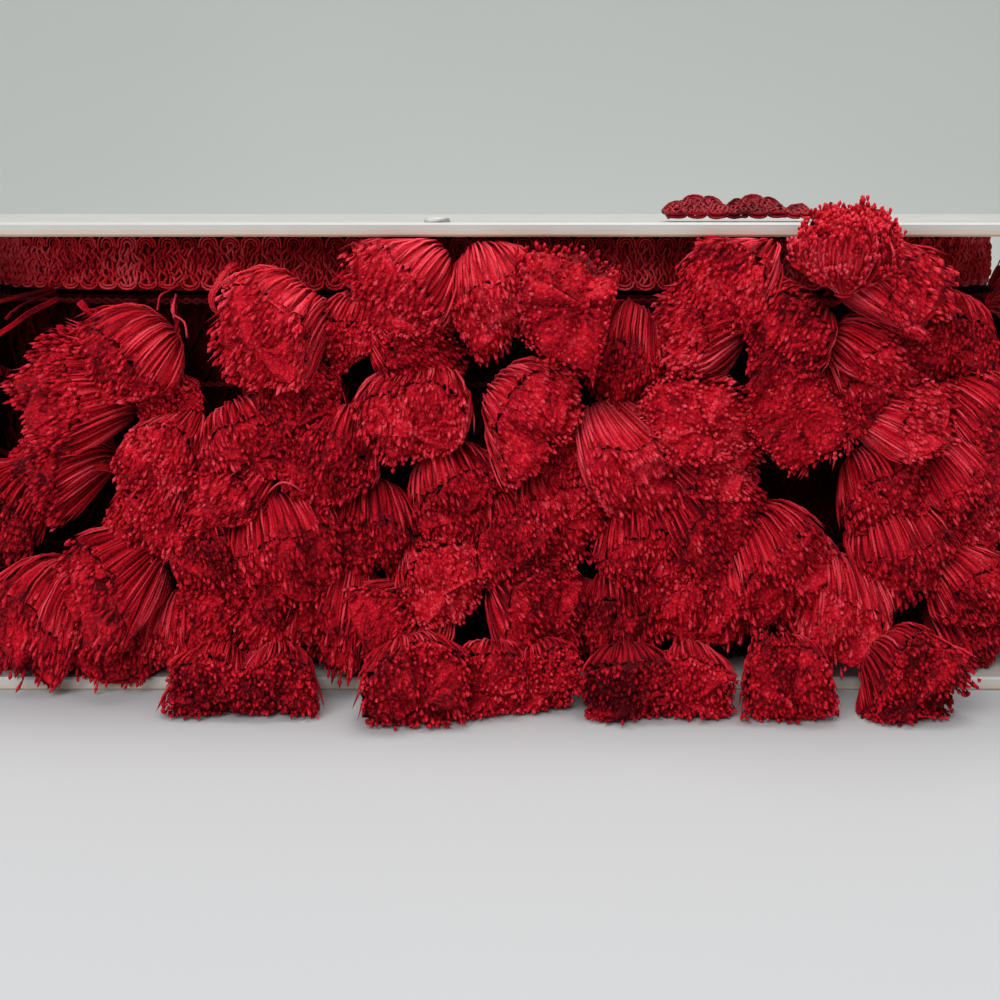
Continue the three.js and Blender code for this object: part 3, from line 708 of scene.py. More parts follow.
def relax(layout):
    """Pushes neighbouring tassels apart until their samples no longer meet."""
    first, second = np.nonzero(np.triu(layout.near))
    follow = np.array([share for _, share in SAMPLES])
    radius = np.array([size for size, _ in SAMPLES])[None] * np.where(
        follow[None] > 0, layout.size[:, None], 1
    )
    room = radius[first][:, :, None] + radius[second][:, None, :]
    moves = follow > 0
    either = moves[:, None] | moves[None, :]
    for _ in range(RELAX["rounds"]):
        spots = np.stack([
            layout.neck + 0.5 * (layout.root - layout.neck),
            layout.neck,
            layout.neck + 0.5 * (layout.tip - layout.neck),
            layout.tip,
        ], axis=1)
        apart = spots[first][:, :, None] - spots[second][:, None]
        distance = np.linalg.norm(apart, axis=-1)
        missing = np.where(either, np.maximum(room - distance, 0), 0)
        push = apart * (RELAX["push"] * missing / np.maximum(distance, 1e-9))[..., None]
        pushes = np.zeros_like(layout.tip)
        np.add.at(pushes, first, push[:, moves].sum(axis=(1, 2)))
        np.add.at(pushes, second, -push[:, :, moves].sum(axis=(1, 2)))
        layout.tip += pushes
        settle_tips(layout)


def settle_tips(layout):
    """Keeps tips at their length from the neck, off the wall and clear of boards and floor."""
    lie = RELAX["lie"] * layout.size
    for _ in range(RELAX["settles"]):
        distance, out = off_wall(layout.tip)
        short = np.maximum(TASSEL["clear"] + lie - distance, 0)
        layout.tip += out * short[:, None]
        z = layout.tip[:, 2]
        between_boards = np.clip(z, ROLL_BOTTOM + lie, ROLL_TOP - lie)
        layout.tip[:, 2] = np.where(layout.under_board, between_boards, np.maximum(z, GAP + lie))
        layout.tip = layout.neck + unit(layout.tip - layout.neck) * layout.reach[:, None]


def closest(a0, a1, b0, b1):
    """Closest points of line pieces, one row a pair."""
    u, v, w = a1 - a0, b1 - b0, a0 - b0
    uu, uv, vv = (u * u).sum(-1), (u * v).sum(-1), (v * v).sum(-1)
    uw, vw = (u * w).sum(-1), (v * w).sum(-1)
    cross = uu * vv - uv * uv
    sa = np.clip((uv * vw - vv * uw) / np.maximum(cross, 1e-9), 0, 1) * (cross > 1e-9)
    sb = np.clip((uv * sa + vw) / vv, 0, 1)
    sa = np.clip((uv * sb - uw) / uu, 0, 1)
    return a0 + u * sa[:, None], b0 + v * sb[:, None]


def parting_planes(layout):
    """For each tassel, the planes (normal, limit) between it and its neighbours."""
    own, other = np.nonzero(layout.near)
    planes = [[] for _ in layout.size]
    on_a, on_b = closest(layout.neck[own], layout.tip[own], layout.neck[other], layout.tip[other])
    distance = np.linalg.norm(on_b - on_a, axis=-1)
    normal = unit(on_b - on_a)
    limit = (normal * (on_a + on_b) / 2).sum(-1) - PARTING["gap"]
    for k in np.nonzero(distance < PARTING["reach"])[0]:
        planes[own[k]].append((normal[k], limit[k]))
    on_a, on_b = closest(layout.neck[own], layout.tip[own], layout.root[other], layout.neck[other])
    distance = np.linalg.norm(on_b - on_a, axis=-1)
    normal = unit(on_b - on_a)
    keep = np.minimum(distance * PARTING["cord_part"], distance - PARTING["cord_margin"])
    limit = (normal * on_a).sum(-1) + keep
    for k in np.nonzero(distance < PARTING["cord_reach"])[0]:
        planes[own[k]].append((normal[k], limit[k]))
    return planes


# Tassels

# A brush: how far it opens its wide and its narrow way, its neck (mm), how its sides
# belly, how its strands droop beyond the level part of their length, under a board and
# free, how far they mingle with a neighbour's and how softly (mm), and how much the
# ball's sides swell (mm).
BRUSH = {
    "opening": np.radians([38, 29]), "neck_radius": 1.9, "belly": 0.7, "droop": 2.0,
    "level": 0.37, "free_level": 0.5, "mingle": 3.2, "soft": 3, "swell": 4.5,
}
# Its room (mm): how far it stays off the wall and how softly, its margin to boards and
# floor and how softly, and the width over which the floor takes the lower board's place.
ROOM = {"rounds": 2, "wall": 2.5, "wall_soft": 1.0, "margin": 0.5, "soft": 0.8, "rim": 1.5}
# Strands hang over the rim by a share of their reach past it, up to a limit (mm), from
# brushes that end below a height, and less so just below it.
HANG = {"share": 0.9, "most": 8, "height": 24, "fade": 9}
# How far the ball on the rim and the brushes on the floor open, against the others.
FLARE = {"ball": 0.62, "lying": 0.78}
# What its strands are bent by: its own lie and its weight, under a board and free.
LIMP = {"along": 0.55, "down": 0.7, "free_down": 0.4}
# A brush's tone, the spread from one to another, and the painted shade that darkens it below a height,
# standing in for the shade on the low brushes.
TONE = {"usual": 0.48, "spread": 0.08, "low_painted_shade": 0.15, "height": 40}
SKEW = 0.12
# Waves around a brush, by how many to a round. Its folds and its strands' lengths each
# have the size of a single wave, and how fast the closer waves get smaller.
WAVES = np.array([2, 3, 5, 8, 13])
FOLDS = (0.12, 0.5)
LENGTHS = (0.07, 0.4)
# The skin: its place in the round, how uneven its ridges are, their height at the neck
# against the end, their wander and fraying (mm), then its tones: painted shade in grooves
# and a painted highlight on crests, how they change to the end (painted shade darker towards
# the neck), and from ridge to ridge.
SKIN = {
    "round": 0.94, "uneven": 0.3, "ridge": 0.8, "ridge_start": 0.45, "wander": 0.35, "fray": 0.4,
    "groove_shade": -0.42, "crest": 0.62, "fade": -0.2, "brighten": 0.1, "tones": 0.1,
}
# A thread: its place in the round, its end as a part of the brush's length, and its lift
# off the skin, each between two limits, and how its radius grows. Its tone is a painted
# highlight over the brush's, fading towards its end.
THREAD = {
    "round": (0.98, 1.08), "end": (0.82, 1.04), "lift": (0.3, 0.65), "turn": 2.1,
    "radius": 0.21, "thicker": 0.9, "points": 6, "bend": 0.5,
    "tone": 0.2, "fade": -0.1, "tones": 0.16,
}
# The part of a brush's length where its strands start to fray, and where all have.
FRAYED = (0.74, 0.94)
# A crumb: its length and middle as parts between two limits, its radius and the limits of
# its unevenness, its tones at foot, middle and tip (painted shade at the foot, a painted
# highlight at the tip), and how clusters move it and shade it: painted lighter where they
# stand out and darker, painted shade, where they sink.
CRUMB = {
    "length": (0.07, 0.16), "middle": (0.62, 0.82), "radius": 0.5, "uneven": (0.65, 1.35),
    "sides": 4, "turn": 1.57, "stray": 0.45, "foot_shade_tip_highlight": (-0.15, 0.02, 0.08), "tones": 0.11,
    "clusters": 15, "cluster_reach": 0.05, "cluster_tone": 0.12, "fray": 0.7,
}
# Crumbs on a brush's side: how many times the usual, the inside of their ring in the
# round, and how far back from the brush's end they reach.
SIDE_CRUMBS = {"ball": (8, 1.1, 0.85), "brush": (1, 0.95, 0.18)}
SIDE_RING, SIDE_END, SIDE_CROWDING = 0.1, 1.04, 1.2
# Crumbs on its end: how far out in the round, and where they end, at the least and usually.
END_CRUMBS = {"round": 0.98, "least": 0.9, "end": 1.03, "spread": 0.04}
COIL = {"turns": 3, "points": 22, "low": -1.5, "high": 1.0, "lift": 0.2, "yarn": 0.5}
CORD = {"points": 7, "sag": 2.0, "twist": 9, "ply": 0.5, "yarn": 0.55, "tone": 0.2}
# Parts of a brush's length at which its paths are worked out. The skin stops at one of
# them, short of the strands' ends.
STEPS = np.array([0, 0.1, 0.22, 0.36, 0.5, 0.64, 0.78, 0.9, 1.0, 1.08])
SKIN_END = 7
# The lid of a brush's end: radius in its round, and part of its length. Its tone is darker: painted
# shade under the crumbs.
LID = [(0.86, 0.94), (0.7, 0.95), (0.54, 0.96), (0.37, 0.96), (0.2, 0.97)]
LID_LOOK = {"rough": 0.45, "tone": -0.1, "tones": 0.12}
# How much of each kind of yarn a brush has.
DETAIL = {
    "front": {"ridges": 48, "threads": 62, "side_crumbs": 80, "end_crumbs": 290},
    "hidden": {"ridges": 24, "threads": 22, "side_crumbs": 34, "end_crumbs": 100},
}


def soft_limit(over, soft):
    """How far beyond a limit points stay, once squeezed softly inside it."""
    squeezed = -soft * np.exp(-(over + soft) / soft)
    return np.where(over > -soft, squeezed, over)


def sample(paths, parts):
    """Points of paths at parts (paths, points) of their length."""
    place = np.interp(parts, STEPS, np.arange(len(STEPS)))
    low = np.minimum(place.astype(int), len(STEPS) - 2)
    share = (place - low)[..., None]
    rows = np.arange(len(paths))[:, None]
    return paths[rows, low] * (1 - share) + paths[rows, low + 1] * share


def disc(angle, radius):
    return np.stack([radius * np.cos(angle), radius * np.sin(angle)], axis=-1)


TABLED = sum(len(table) for table in FRONT_TIERS)
FRONT_COUNT = TABLED + len(PROUD_TASSELS) + len(FLOOR_TASSELS)
# The tassel that sits like a ball on the upper board's rim.
BALL = TABLED + 3


class Tassel:
    """One tassel of the layout, with its own frame and random draws."""

    def __init__(self, layout, planes, index):
        self.random = np.random.default_rng(1000 + index)
        self.neck = layout.neck[index]
        self.root = layout.root[index]
        self.size = layout.size[index]
        self.reach = layout.reach[index]
        self.under_board = layout.under_board[index]
        self.planes = planes[index]
        self.along = unit(layout.tip[index] - self.neck)
        stray = jitter([index, index + 50, index + 90])
        turn = layout.normal[index] + stray * TASSEL["stray"]
        self.wide = unit(np.cross(self.along, turn))
        self.face = unit(np.cross(self.along, self.wide))
        self.detail = DETAIL["front" if index < FRONT_COUNT else "hidden"]
        self.round = index == BALL
        self.flare = FLARE["ball"] if self.round else 1.0
        if self.neck[2] <= FLOOR_NECK["height"]:
            self.flare = FLARE["lying"]
        down = np.array([0, 0, -1.0])
        flat = unit(self.along - layout.normal[index] * (self.along @ layout.normal[index]))
        limp = LIMP["free_down"] * down
        if self.under_board:
            limp = LIMP["along"] * flat + LIMP["down"] * down
        self.bend = BRUSH["droop"] * limp
        # Painted shade: low brushes are painted darker, for the shade they lie in.
        low_painted_shade = TONE["low_painted_shade"] * max(0, 1 - self.neck[2] / TONE["height"])
        self.tone = TONE["usual"] + TONE["spread"] * self.random.normal() - low_painted_shade
        self.skew = self.random.normal(size=2) * SKEW
        self.folds = self.waves(*FOLDS)
        self.lengths = self.waves(*LENGTHS)

    def waves(self, size, fall):
        """The sizes of the waves around the brush, each with a phase of its own."""
        return size / WAVES ** fall, self.random.uniform(0, PHASES, size=len(WAVES))

    @staticmethod
    def wave(waves, angle):
        """A smooth ragged value for each angle around the brush."""
        sizes, phases = waves
        return (sizes * np.sin(WAVES * angle[:, None] + phases)).sum(axis=1)

    def lay(self, places):
        """Places in the brush's round as directions across it."""
        return places[:, :1] * self.wide + places[:, 1:] * self.face

    def paths(self, places):
        """Paths (strands, STEPS, 3) of strands that leave the neck at places in its round."""
        angle = np.arctan2(places[:, 1], places[:, 0])
        across_neck = self.lay(places)
        point = self.neck + BRUSH["neck_radius"] * self.size ** 0.5 * across_neck
        spread = places * (1 + self.wave(self.folds, angle))[:, None] + self.skew
        spread = self.lay(np.tan(spread * BRUSH["opening"])) * self.flare
        length = self.reach * (1.05 + self.wave(self.lengths, angle))[:, None]
        level = BRUSH["level" if self.under_board else "free_level"]
        path = [point]
        for reached, step in zip(STEPS[:-1], STEPS[1:]):
            middle = (step + reached) / 2
            bent = self.along + spread * (1 + BRUSH["belly"] * (0.5 - middle))
            bent = unit(bent + self.bend * (middle - level))
            point = point + bent * length * (step - reached)
            path.append(point)
        paths = np.stack(path, axis=1)
        if self.round:
            swell = BRUSH["swell"] * np.sin(math.pi * np.clip(STEPS, 0, 1))
            paths = paths + across_neck[:, None] * swell[:, None]
        paths = self.squeeze(paths)
        return self.overhang(paths) if self.under_board else paths

    def rest(self, points):
        """Height at which points lie on the lower board, or on the floor beyond its rim."""
        past = np.abs(points[..., 1]) - BOARD_HALF_DEPTH
        share = np.clip(past / ROOM["rim"], 0, 1) if self.under_board else 1.0
        return ROLL_BOTTOM + (GAP - ROLL_BOTTOM) * share + ROOM["margin"]

    def squeeze(self, points):
        """Keeps points softly inside the tassel's own room."""
        soft = BRUSH["soft"]
        for _ in range(ROOM["rounds"]):
            for normal, limit in self.planes:
                over = points @ normal - limit - BRUSH["mingle"]
                points = points + (soft_limit(over, soft) - over)[..., None] * normal
            distance, out = off_wall(points)
            over = ROOM["wall"] - distance
            points = points + (over - soft_limit(over, ROOM["wall_soft"]))[..., None] * out
            z = points[..., 2]
            over = self.rest(points) - z
            z = z + over - soft_limit(over, ROOM["soft"])
            if self.under_board:
                over = z - (ROLL_TOP - ROOM["margin"])
                z = z - over + soft_limit(over, ROOM["soft"])
            points = np.concatenate([points[..., :2], z[..., None]], axis=-1)
        return points

    def overhang(self, paths):
        """Lets strands that end past the lower board's rim hang down in front of it."""
        tip = paths[:, -1]
        past = np.clip(np.abs(tip[:, 1]) - BOARD_HALF_DEPTH, 0, HANG["most"])
        low = np.clip((HANG["height"] - tip[:, 2]) / HANG["fade"], 0, 1)
        drop = HANG["share"] * past * low
        z = paths[..., 2]
        lower = z - drop[:, None] * STEPS ** 2
        paths[..., 2] = np.maximum(lower, np.minimum(z, self.rest(paths)))
        return paths

    def build(self, soup):
        self.binding(soup)
        self.skin(soup)
        self.threads(soup)
        self.side_crumbs(soup)
        self.end_crumbs(soup)

    def skin(self, soup):
        """The brush's outside, ridged where its strands lie side by side."""
        draw = self.random
        ridges = self.detail["ridges"]
        number = np.arange(2 * ridges)
        crest = number % 2
        uneven = SKIN["uneven"] * draw.uniform(-1, 1, size=2 * ridges)
        angle = 2 * math.pi * (number + uneven) / (2 * ridges)
        paths = self.paths(disc(angle, SKIN["round"]))
        middle = paths.mean(axis=0)
        wander = np.repeat(draw.normal(size=(ridges, 1, 3)), 2, axis=0) * SKIN["wander"]
        ridge = (crest - 0.5) * (0.5 + draw.uniform(size=2 * ridges)) * SKIN["ridge"]
        part = STEPS[None, :, None]
        growth = SKIN["ridge_start"] + (1 - SKIN["ridge_start"]) * part
        paths = paths + unit(paths - middle) * ridge[:, None, None] * growth
        paths = paths + wander * np.sin(math.pi * part)
        frayed = np.interp(STEPS, FRAYED, (0, 1))
        paths = paths + SKIN["fray"] * frayed[None, :, None] * draw.normal(size=paths.shape)
        rings = np.swapaxes(paths, 0, 1)[: SKIN_END + 1]
        share = STEPS[: SKIN_END + 1, None]
        each = np.repeat(draw.normal(size=ridges), 2) * SKIN["tones"]
        # Painted shade in the grooves, a painted highlight on the crests, and painted shade darker
        # towards the neck.
        tones = self.tone + SKIN["groove_shade"] + crest * (SKIN["crest"] + SKIN["fade"] * share)
        tones = tones + each + SKIN["brighten"] * share
        frays = np.broadcast_to(frayed[: SKIN_END + 1, None], tones.shape)
        soup.loft(rings, tones, capped=False, fray=frays)
        lid = [rings[-1][::2]]
        few = angle[::2]
        for radius, reached in LID:
            inner = sample(self.paths(disc(few, radius)), np.full((len(few), 1), reached))[:, 0]
            lid.append(inner + LID_LOOK["rough"] * radius * draw.normal(size=inner.shape))
        each = LID_LOOK["tones"] * draw.normal(size=(len(lid), len(few)))
        # Painted shade: the lid under the crumbs is painted darker.
        tones = self.tone + LID_LOOK["tone"] + each
        soup.loft(lid, tones, capped=True, fray=1.0)

    def threads(self, soup):
        """Separate threads that lie over the skin, each to its own end."""
        draw = self.random
        count = self.detail["threads"] // (3 if self.round else 1)
        angle = 2 * math.pi * (np.arange(count) + draw.uniform(size=count)) / count
        paths = self.paths(disc(angle, draw.uniform(*THREAD["round"], size=count)))
        ends = draw.uniform(*THREAD["end"], size=count)
        parts = ends[:, None] * np.linspace(0, 1, THREAD["points"])
        points = sample(paths, parts)
        lift = draw.uniform(*THREAD["lift"], size=(count, 1, 1))
        points = points + unit(points - points.mean(axis=0)) * lift
        bend = draw.normal(size=(count, 1, 3)) * THREAD["bend"] * (parts ** 2)[..., None]
        radii = THREAD["radius"] * (1 + THREAD["thicker"] * parts[:, :-1])
        each = THREAD["tones"] * draw.normal(size=count)[:, None]
        # Painted highlight: threads are lighter than the skin, most near the neck.
        tones = self.tone + THREAD["tone"] + each + THREAD["fade"] * parts
        turn = draw.uniform(0, THREAD["turn"], size=count)
        soup.tubes(points + bend, radii, tones, turn=turn, end="tip")

    def side_crumbs(self, soup):
        """Frayed cut yarn over the outer half of the skin."""
        draw = self.random
        times, inner, back = SIDE_CRUMBS["ball" if self.round else "brush"]
        count = self.detail["side_crumbs"] * times
        angle = draw.uniform(0, 2 * math.pi, size=count)
        radius = inner + SIDE_RING * draw.uniform(size=count)
        ends = SIDE_END - back * draw.uniform(size=count) ** SIDE_CROWDING
        self.crumbs(soup, disc(angle, radius), ends)

    def end_crumbs(self, soup):
        """Frayed cut yarn over the end of the brush."""
        draw = self.random
        count = self.detail["end_crumbs"]
        radius = END_CRUMBS["round"] * np.sqrt((np.arange(count) + 0.5) / count)
        angle = np.arange(count) * GOLDEN_TURN + draw.uniform(0, PHASES)
        ends = END_CRUMBS["end"] + END_CRUMBS["spread"] * draw.normal(size=count)
        self.crumbs(soup, disc(angle, radius), np.clip(ends, END_CRUMBS["least"], STEPS[-1]))

    def crumbs(self, soup, places, ends):
        """Small eight-sided lumps at the ends of strands, drawn into clusters."""
        draw = self.random
        count, sides = len(places), CRUMB["sides"]
        paths = self.paths(places)
        cluster = np.sin(CRUMB["clusters"] * places + self.folds[1][:2]).prod(axis=1)
        ends = (ends + CRUMB["cluster_reach"] * cluster)[:, None]
        base = sample(paths, ends - draw.uniform(*CRUMB["length"], size=(count, 1)))[:, 0]
        tip = sample(paths, ends)[:, 0] + CRUMB["stray"] * draw.normal(size=(count, 3))
        side, other = about(unit(tip - base))
        middle = base + draw.uniform(*CRUMB["middle"], size=(count, 1)) * (tip - base)
        radius = CRUMB["radius"] * draw.uniform(*CRUMB["uneven"], size=(count, sides, 1))
        turn = draw.uniform(0, CRUMB["turn"], size=count)[:, None]
        turn = turn + 2 * math.pi / sides * np.arange(sides)
        ring = np.cos(turn)[..., None] * side[:, None] + np.sin(turn)[..., None] * other[:, None]
        ring = middle[:, None] + radius * ring
        points = np.concatenate([base[:, None], ring, tip[:, None]], axis=1)
        points[..., 2] = np.maximum(points[..., 2], GAP)
        # Painted shade at crumbs' feet and in sunk clusters, a painted highlight at tips and on clusters
        # that stand out.
        tone = CRUMB["tones"] * draw.normal(size=count) + CRUMB["cluster_tone"] * cluster
        at_foot, at_middle, at_tip = CRUMB["foot_shade_tip_highlight"]
        foot_shade_tip_highlight = np.array([at_foot, *[at_middle] * sides, at_tip])
        tones = self.tone + tone[:, None] + foot_shade_tip_highlight
        around = [(1 + k, 1 + (k + 1) % sides) for k in range(sides)]
        corners = [(0, onward, here) for here, onward in around]
        corners += [(sides + 1, here, onward) for here, onward in around]
        faces = np.array(corners)[None] + (sides + 2) * np.arange(count)[:, None, None]
        soup.add(points, tones, triangles=faces, fray=CRUMB["fray"])

    def binding(self, soup):
        """The thread wound round the neck, and the two-ply cord from there to the strip."""
        turns = np.linspace(0, 2 * math.pi * COIL["turns"], COIL["points"])
        lift = np.linspace(COIL["low"], COIL["high"], COIL["points"])
        radius = BRUSH["neck_radius"] * self.size ** 0.5 + COIL["lift"]
        coil = self.neck + lift[:, None] * self.along + self.lay(disc(turns, radius))
        soup.tubes(coil[None], COIL["yarn"], self.tone - 0.05, towards=self.along)
        start = self.neck + COIL["low"] * self.along
        middle = (start + self.root) / 2 - CORD["sag"] * self.along
        t = np.linspace(0, 1, CORD["points"])[:, None]
        line = (1 - t) ** 2 * start + 2 * t * (1 - t) * middle + t ** 2 * self.root
        side, other = about(unit(self.root - start))
        twist = CORD["twist"] * t
        swing = CORD["ply"] * (np.cos(twist) * side + np.sin(twist) * other)
        soup.tubes(np.stack([line + swing, line - swing]), CORD["yarn"], CORD["tone"])


def add_strip(soup, sector, height):
    """Two yarns twisted together, the edge of the netting that the tassels hang from."""
    _, start, end = SECTORS[sector]
    s = np.arange(start + STRIP["margin"], end - STRIP["margin"], STRIP["step"])
    twist = s * STRIP["twist"]
    yarns = []
    for phase in (0, math.pi):
        line, _, _ = wall_at(s, STRIP["out"] + STRIP["ply"] * np.cos(twist + phase))
        line[:, 2] = height + STRIP["ply"] * np.sin(twist + phase)
        yarns.append(line)
    soup.tubes(yarns, STRIP["yarn"], STRIP["tone"], towards=np.array([0, 0, 1.0]))


def add_tassels(material):
    layout = Layout(tassel_rows())
    relax(layout)
    planes = parting_planes(layout)
    for tier, height in enumerate(TIER_HEIGHTS):
        for sector, (sector_name, _, _) in enumerate(SECTORS):
            soup = Soup()
            add_strip(soup, sector, height)
            for index in np.nonzero((layout.tier == tier) & (layout.sector == sector))[0]:
                Tassel(layout, planes, int(index)).build(soup)
            soup.keep_above(0.5 * GAP)
            node = f"tassels_{tier + 1}_{sector_name}"
            soup.piece(f"fringe_{tier + 1}_{sector_name}", material, [node])


# The braid

# Rows of stitches in the braid's body: height of their middles (mm) and their lean.
STITCH_ROWS = [(2.6, 0.3), (4.3, -0.25), (6.0, 0.35), (7.7, -0.2), (9.4, 0.25)]
STITCH = {"pitch": 0.86, "height": 2.0, "bulge": 0.6, "points": 4, "inset": 0.2}
# How much the stitches differ in place, lean, height, hook, level and depth.
STITCH_SPREAD = {"shift": 0.3, "lean": 0.75, "tall": 0.25, "hook": 0.45, "level": 0.4, "out": 0.4}
# Scalloped edges: height of the feet, reach (mm, down where below 0) and nested yarns.
SCALLOP_EDGES = [(10.2, 2.9, 3), (2.1, -1.8, 2)]
SCALLOP = {
    "points": 7, "half": 0.46 * REPEAT, "nest": 0.7, "nest_reach": 0.75, "blunt": 0.8,
    "bulge": 0.3, "nest_inset": 0.15, "shift": 0.06, "tall": 0.14, "out": 0.2,
}
BRAID_YARN = 0.35
# Slow changes of tone along the braid, painted highlights of gloss on slanted yarns: size, rate to a
# millimetre, and phase.
BRAID_HIGHLIGHT_DRIFT = [(0.1, 0.21, 0), (0.08, 0.53, 1)]
# The solid band behind the stitches: how far it is in from the wall at its back and its
# face, how far below the roll's top it ends, its corners and its tone, dark as painted
# shade between the stitches.
BAND = {"back": -6, "face": -0.8, "below": 0.9, "steps": 160, "tone": 0.12}


def stitch_yarns(length):
    """Stitches of a length of braid, as (yarns, points, 3): along, up its width, and out."""
    count = int(length / STITCH["pitch"])
    t = np.linspace(0, 1, STITCH["points"])
    arch = np.sin(math.pi * t)
    rows = []
    for row, (middle, lean) in enumerate(STITCH_ROWS):
        number = np.arange(count) + 1000 * row

        def uneven(kind, seed):
            return STITCH_SPREAD[kind] * jitter(number + seed)

        start = (np.arange(count) + 0.5 + uneven("shift", 0)) * length / count
        tall = STITCH["height"] * (1 + uneven("tall", 9000))
        slant = (lean + uneven("lean", 5000)) * tall
        along = start[:, None] + slant[:, None] * (t - 0.5) + uneven("hook", 12000)[:, None] * arch
        up = middle + uneven("level", 3000)[:, None] + tall[:, None] * (t - 0.5)
        out = STITCH["bulge"] * arch + uneven("out", 7000)[:, None] - STITCH["inset"]
        rows.append(np.stack([along, up, out], axis=-1))
    return np.concatenate(rows)


def scallop_yarns(length):
    """The nested yarns of both scalloped edges, laid out as the stitches are."""
    count = int(round(length / REPEAT))
    angle = np.linspace(0, math.pi, SCALLOP["points"])
    arch = np.sin(angle)
    yarns = []
    for row, (feet, reach, nested) in enumerate(SCALLOP_EDGES):
        number = np.arange(count) + 300 * row
        middle = (np.arange(count) + 0.5 + SCALLOP["shift"] * jitter(number)) * length / count
        tall = 1 + SCALLOP["tall"] * jitter(number + 800)
        for yarn in range(nested):
            half = SCALLOP["half"] - SCALLOP["nest"] * yarn
            rise = (reach - math.copysign(SCALLOP["nest_reach"] * yarn, reach)) * tall
            depth = SCALLOP["out"] * jitter(number + 77 * yarn) - SCALLOP["nest_inset"] * yarn
            along = middle[:, None] + half * np.cos(angle)
            up = feet + rise[:, None] * arch ** SCALLOP["blunt"]
            out = SCALLOP["bulge"] * arch + depth[:, None]
            yarns.append(np.stack([along, up, out], axis=-1))
    return np.concatenate(yarns)


def braid_tones(yarns):
    """Painted highlight where a yarn stands out and painted shade where it sinks, with slow painted
    highlights along the braid.
    """
    along = yarns[..., :1, 0]
    slow = sum(size * np.sin(along * rate + phase) for size, rate, phase in BRAID_HIGHLIGHT_DRIFT)
    each = 0.16 * jitter(np.arange(len(yarns)) + 12)[:, None]
    # Tone rises with how far a yarn stands out: painted highlight and painted shade.
    return 0.5 + 0.2 * yarns[..., 2] + slow + each


def wall_ring(s, out, height):
    """Points around the wall at distances s, at one height."""
    ring, _, _ = wall_at(s, out)
    ring[:, 2] = height
    return ring


def add_heading(material):
    soup = Soup()
    bottom = ROLL_TOP - BRAID_WIDTH
    for yarns in (stitch_yarns(PERIMETER), scallop_yarns(PERIMETER)):
        points, normals, _ = wall_at(yarns[..., 0], yarns[..., 2])
        points[..., 2] = bottom + yarns[..., 1]
        soup.tubes(points, BRAID_YARN, braid_tones(yarns), towards=normals, end="open")
    back, face, below, steps, tone = BAND.values()
    s = np.linspace(0, PERIMETER, steps, endpoint=False)
    top = ROLL_TOP - below
    corners = ((back, bottom), (face, bottom), (face, top), (back, top))
    # Painted shade: the band between the stitches is painted dark.
    soup.loft([wall_ring(s, out, height) for out, height in corners], tone, capped=False)
    return soup.piece("heading_braid", material, ["heading_roll"])


# The netting

# The wound form: how far it is in from the wall, and at its top, its corners, waves and
# levels. Its net: rows, how it lies out of the wall, and the yarn between knots and at them.
NET = {
    "inset": 1.0, "top_inset": 6.0, "steps": 72, "wave": 0.6, "levels": (0, 0.33, 0.66, 1),
    "rows": 13, "out": 0.3, "loose": 0.5, "level": 0.3, "yarn": 0.42, "knot": 0.75, "tone": 0.15,
}


def add_netting(material):
    """The wound form, bulging as in the frame, and the knotted net that shows on it, both near-black
    with painted shade.
    """
    soup = Soup()
    top = box_mm("netting_roll")[1][2]
    number = np.arange(NET["steps"])
    around = number / NET["steps"] * PERIMETER
    rings = []
    for level, part in enumerate(NET["levels"]):
        bulge = NET["wave"] * jitter(number + 100 * level)
        height = ROLL_BOTTOM + (top - ROLL_BOTTOM) * part
        rings.append(wall_ring(around, bulge - NET["inset"], height))
    rings.append(wall_ring(around, -NET["top_inset"], top))
    soup.loft(rings, 0.0)
    corner = np.arange(3 * SCALLOPS + 2)
    s = corner / corner[-1] * PERIMETER
    spacing = (top - ROLL_BOTTOM) / NET["rows"]
    yarns, normals = [], []
    for row in range(NET["rows"]):
        turn = 1 if row % 2 else -1
        swing = turn * 0.5 * spacing * np.cos(corner * math.pi / 2)
        line, normal, _ = wall_at(s, NET["out"] + NET["loose"] * jitter(corner + 17 * row))
        uneven = NET["level"] * jitter(corner + 900 + row)
        line[:, 2] = ROLL_BOTTOM + spacing * (row + 0.5) + swing + uneven
        yarns.append(line)
        normals.append(normal)
    radii = np.where(corner % 2, NET["yarn"], NET["knot"])
    soup.tubes(yarns, radii, NET["tone"], towards=np.array(normals), end="open")
    return soup.piece("netting", material, ["netting_roll"])


# The loose end

# Its sheet: points along and across, how far it stays in from the braid's edges, its half
# thickness, and its relief (mm). Its yarns lie on both faces, flatter than in the roll.
CLOTH = {"along": 90, "across": 12, "edge": 0.9, "half": 0.25, "relief": 0.15, "ribs": 3}
FLATTER = {"share": 0.6, "lift": 0.3, "darker": 0.1}
SMOOTH_STEPS = 6


def smooth_line(table):
    """Rows of a table on one smooth line through them."""
    rows = np.array(table, float)
    before = np.concatenate([2 * rows[:1] - rows[1:2], rows[:-1]])
    after = np.concatenate([rows[1:], 2 * rows[-1:] - rows[-2:-1]])
    slope = (after - before) / 2
    made = []
    for k in range(len(rows) - 1):
        t = np.linspace(0, 1, SMOOTH_STEPS, endpoint=False)[:, None]
        made.append(
            (2 * t ** 3 - 3 * t ** 2 + 1) * rows[k] + (t ** 3 - 2 * t ** 2 + t) * slope[k]
            + (3 * t ** 2 - 2 * t ** 3) * rows[k + 1] + (t ** 3 - t ** 2) * slope[k + 1]
        )
    return np.concatenate([*made, rows[-1:]])


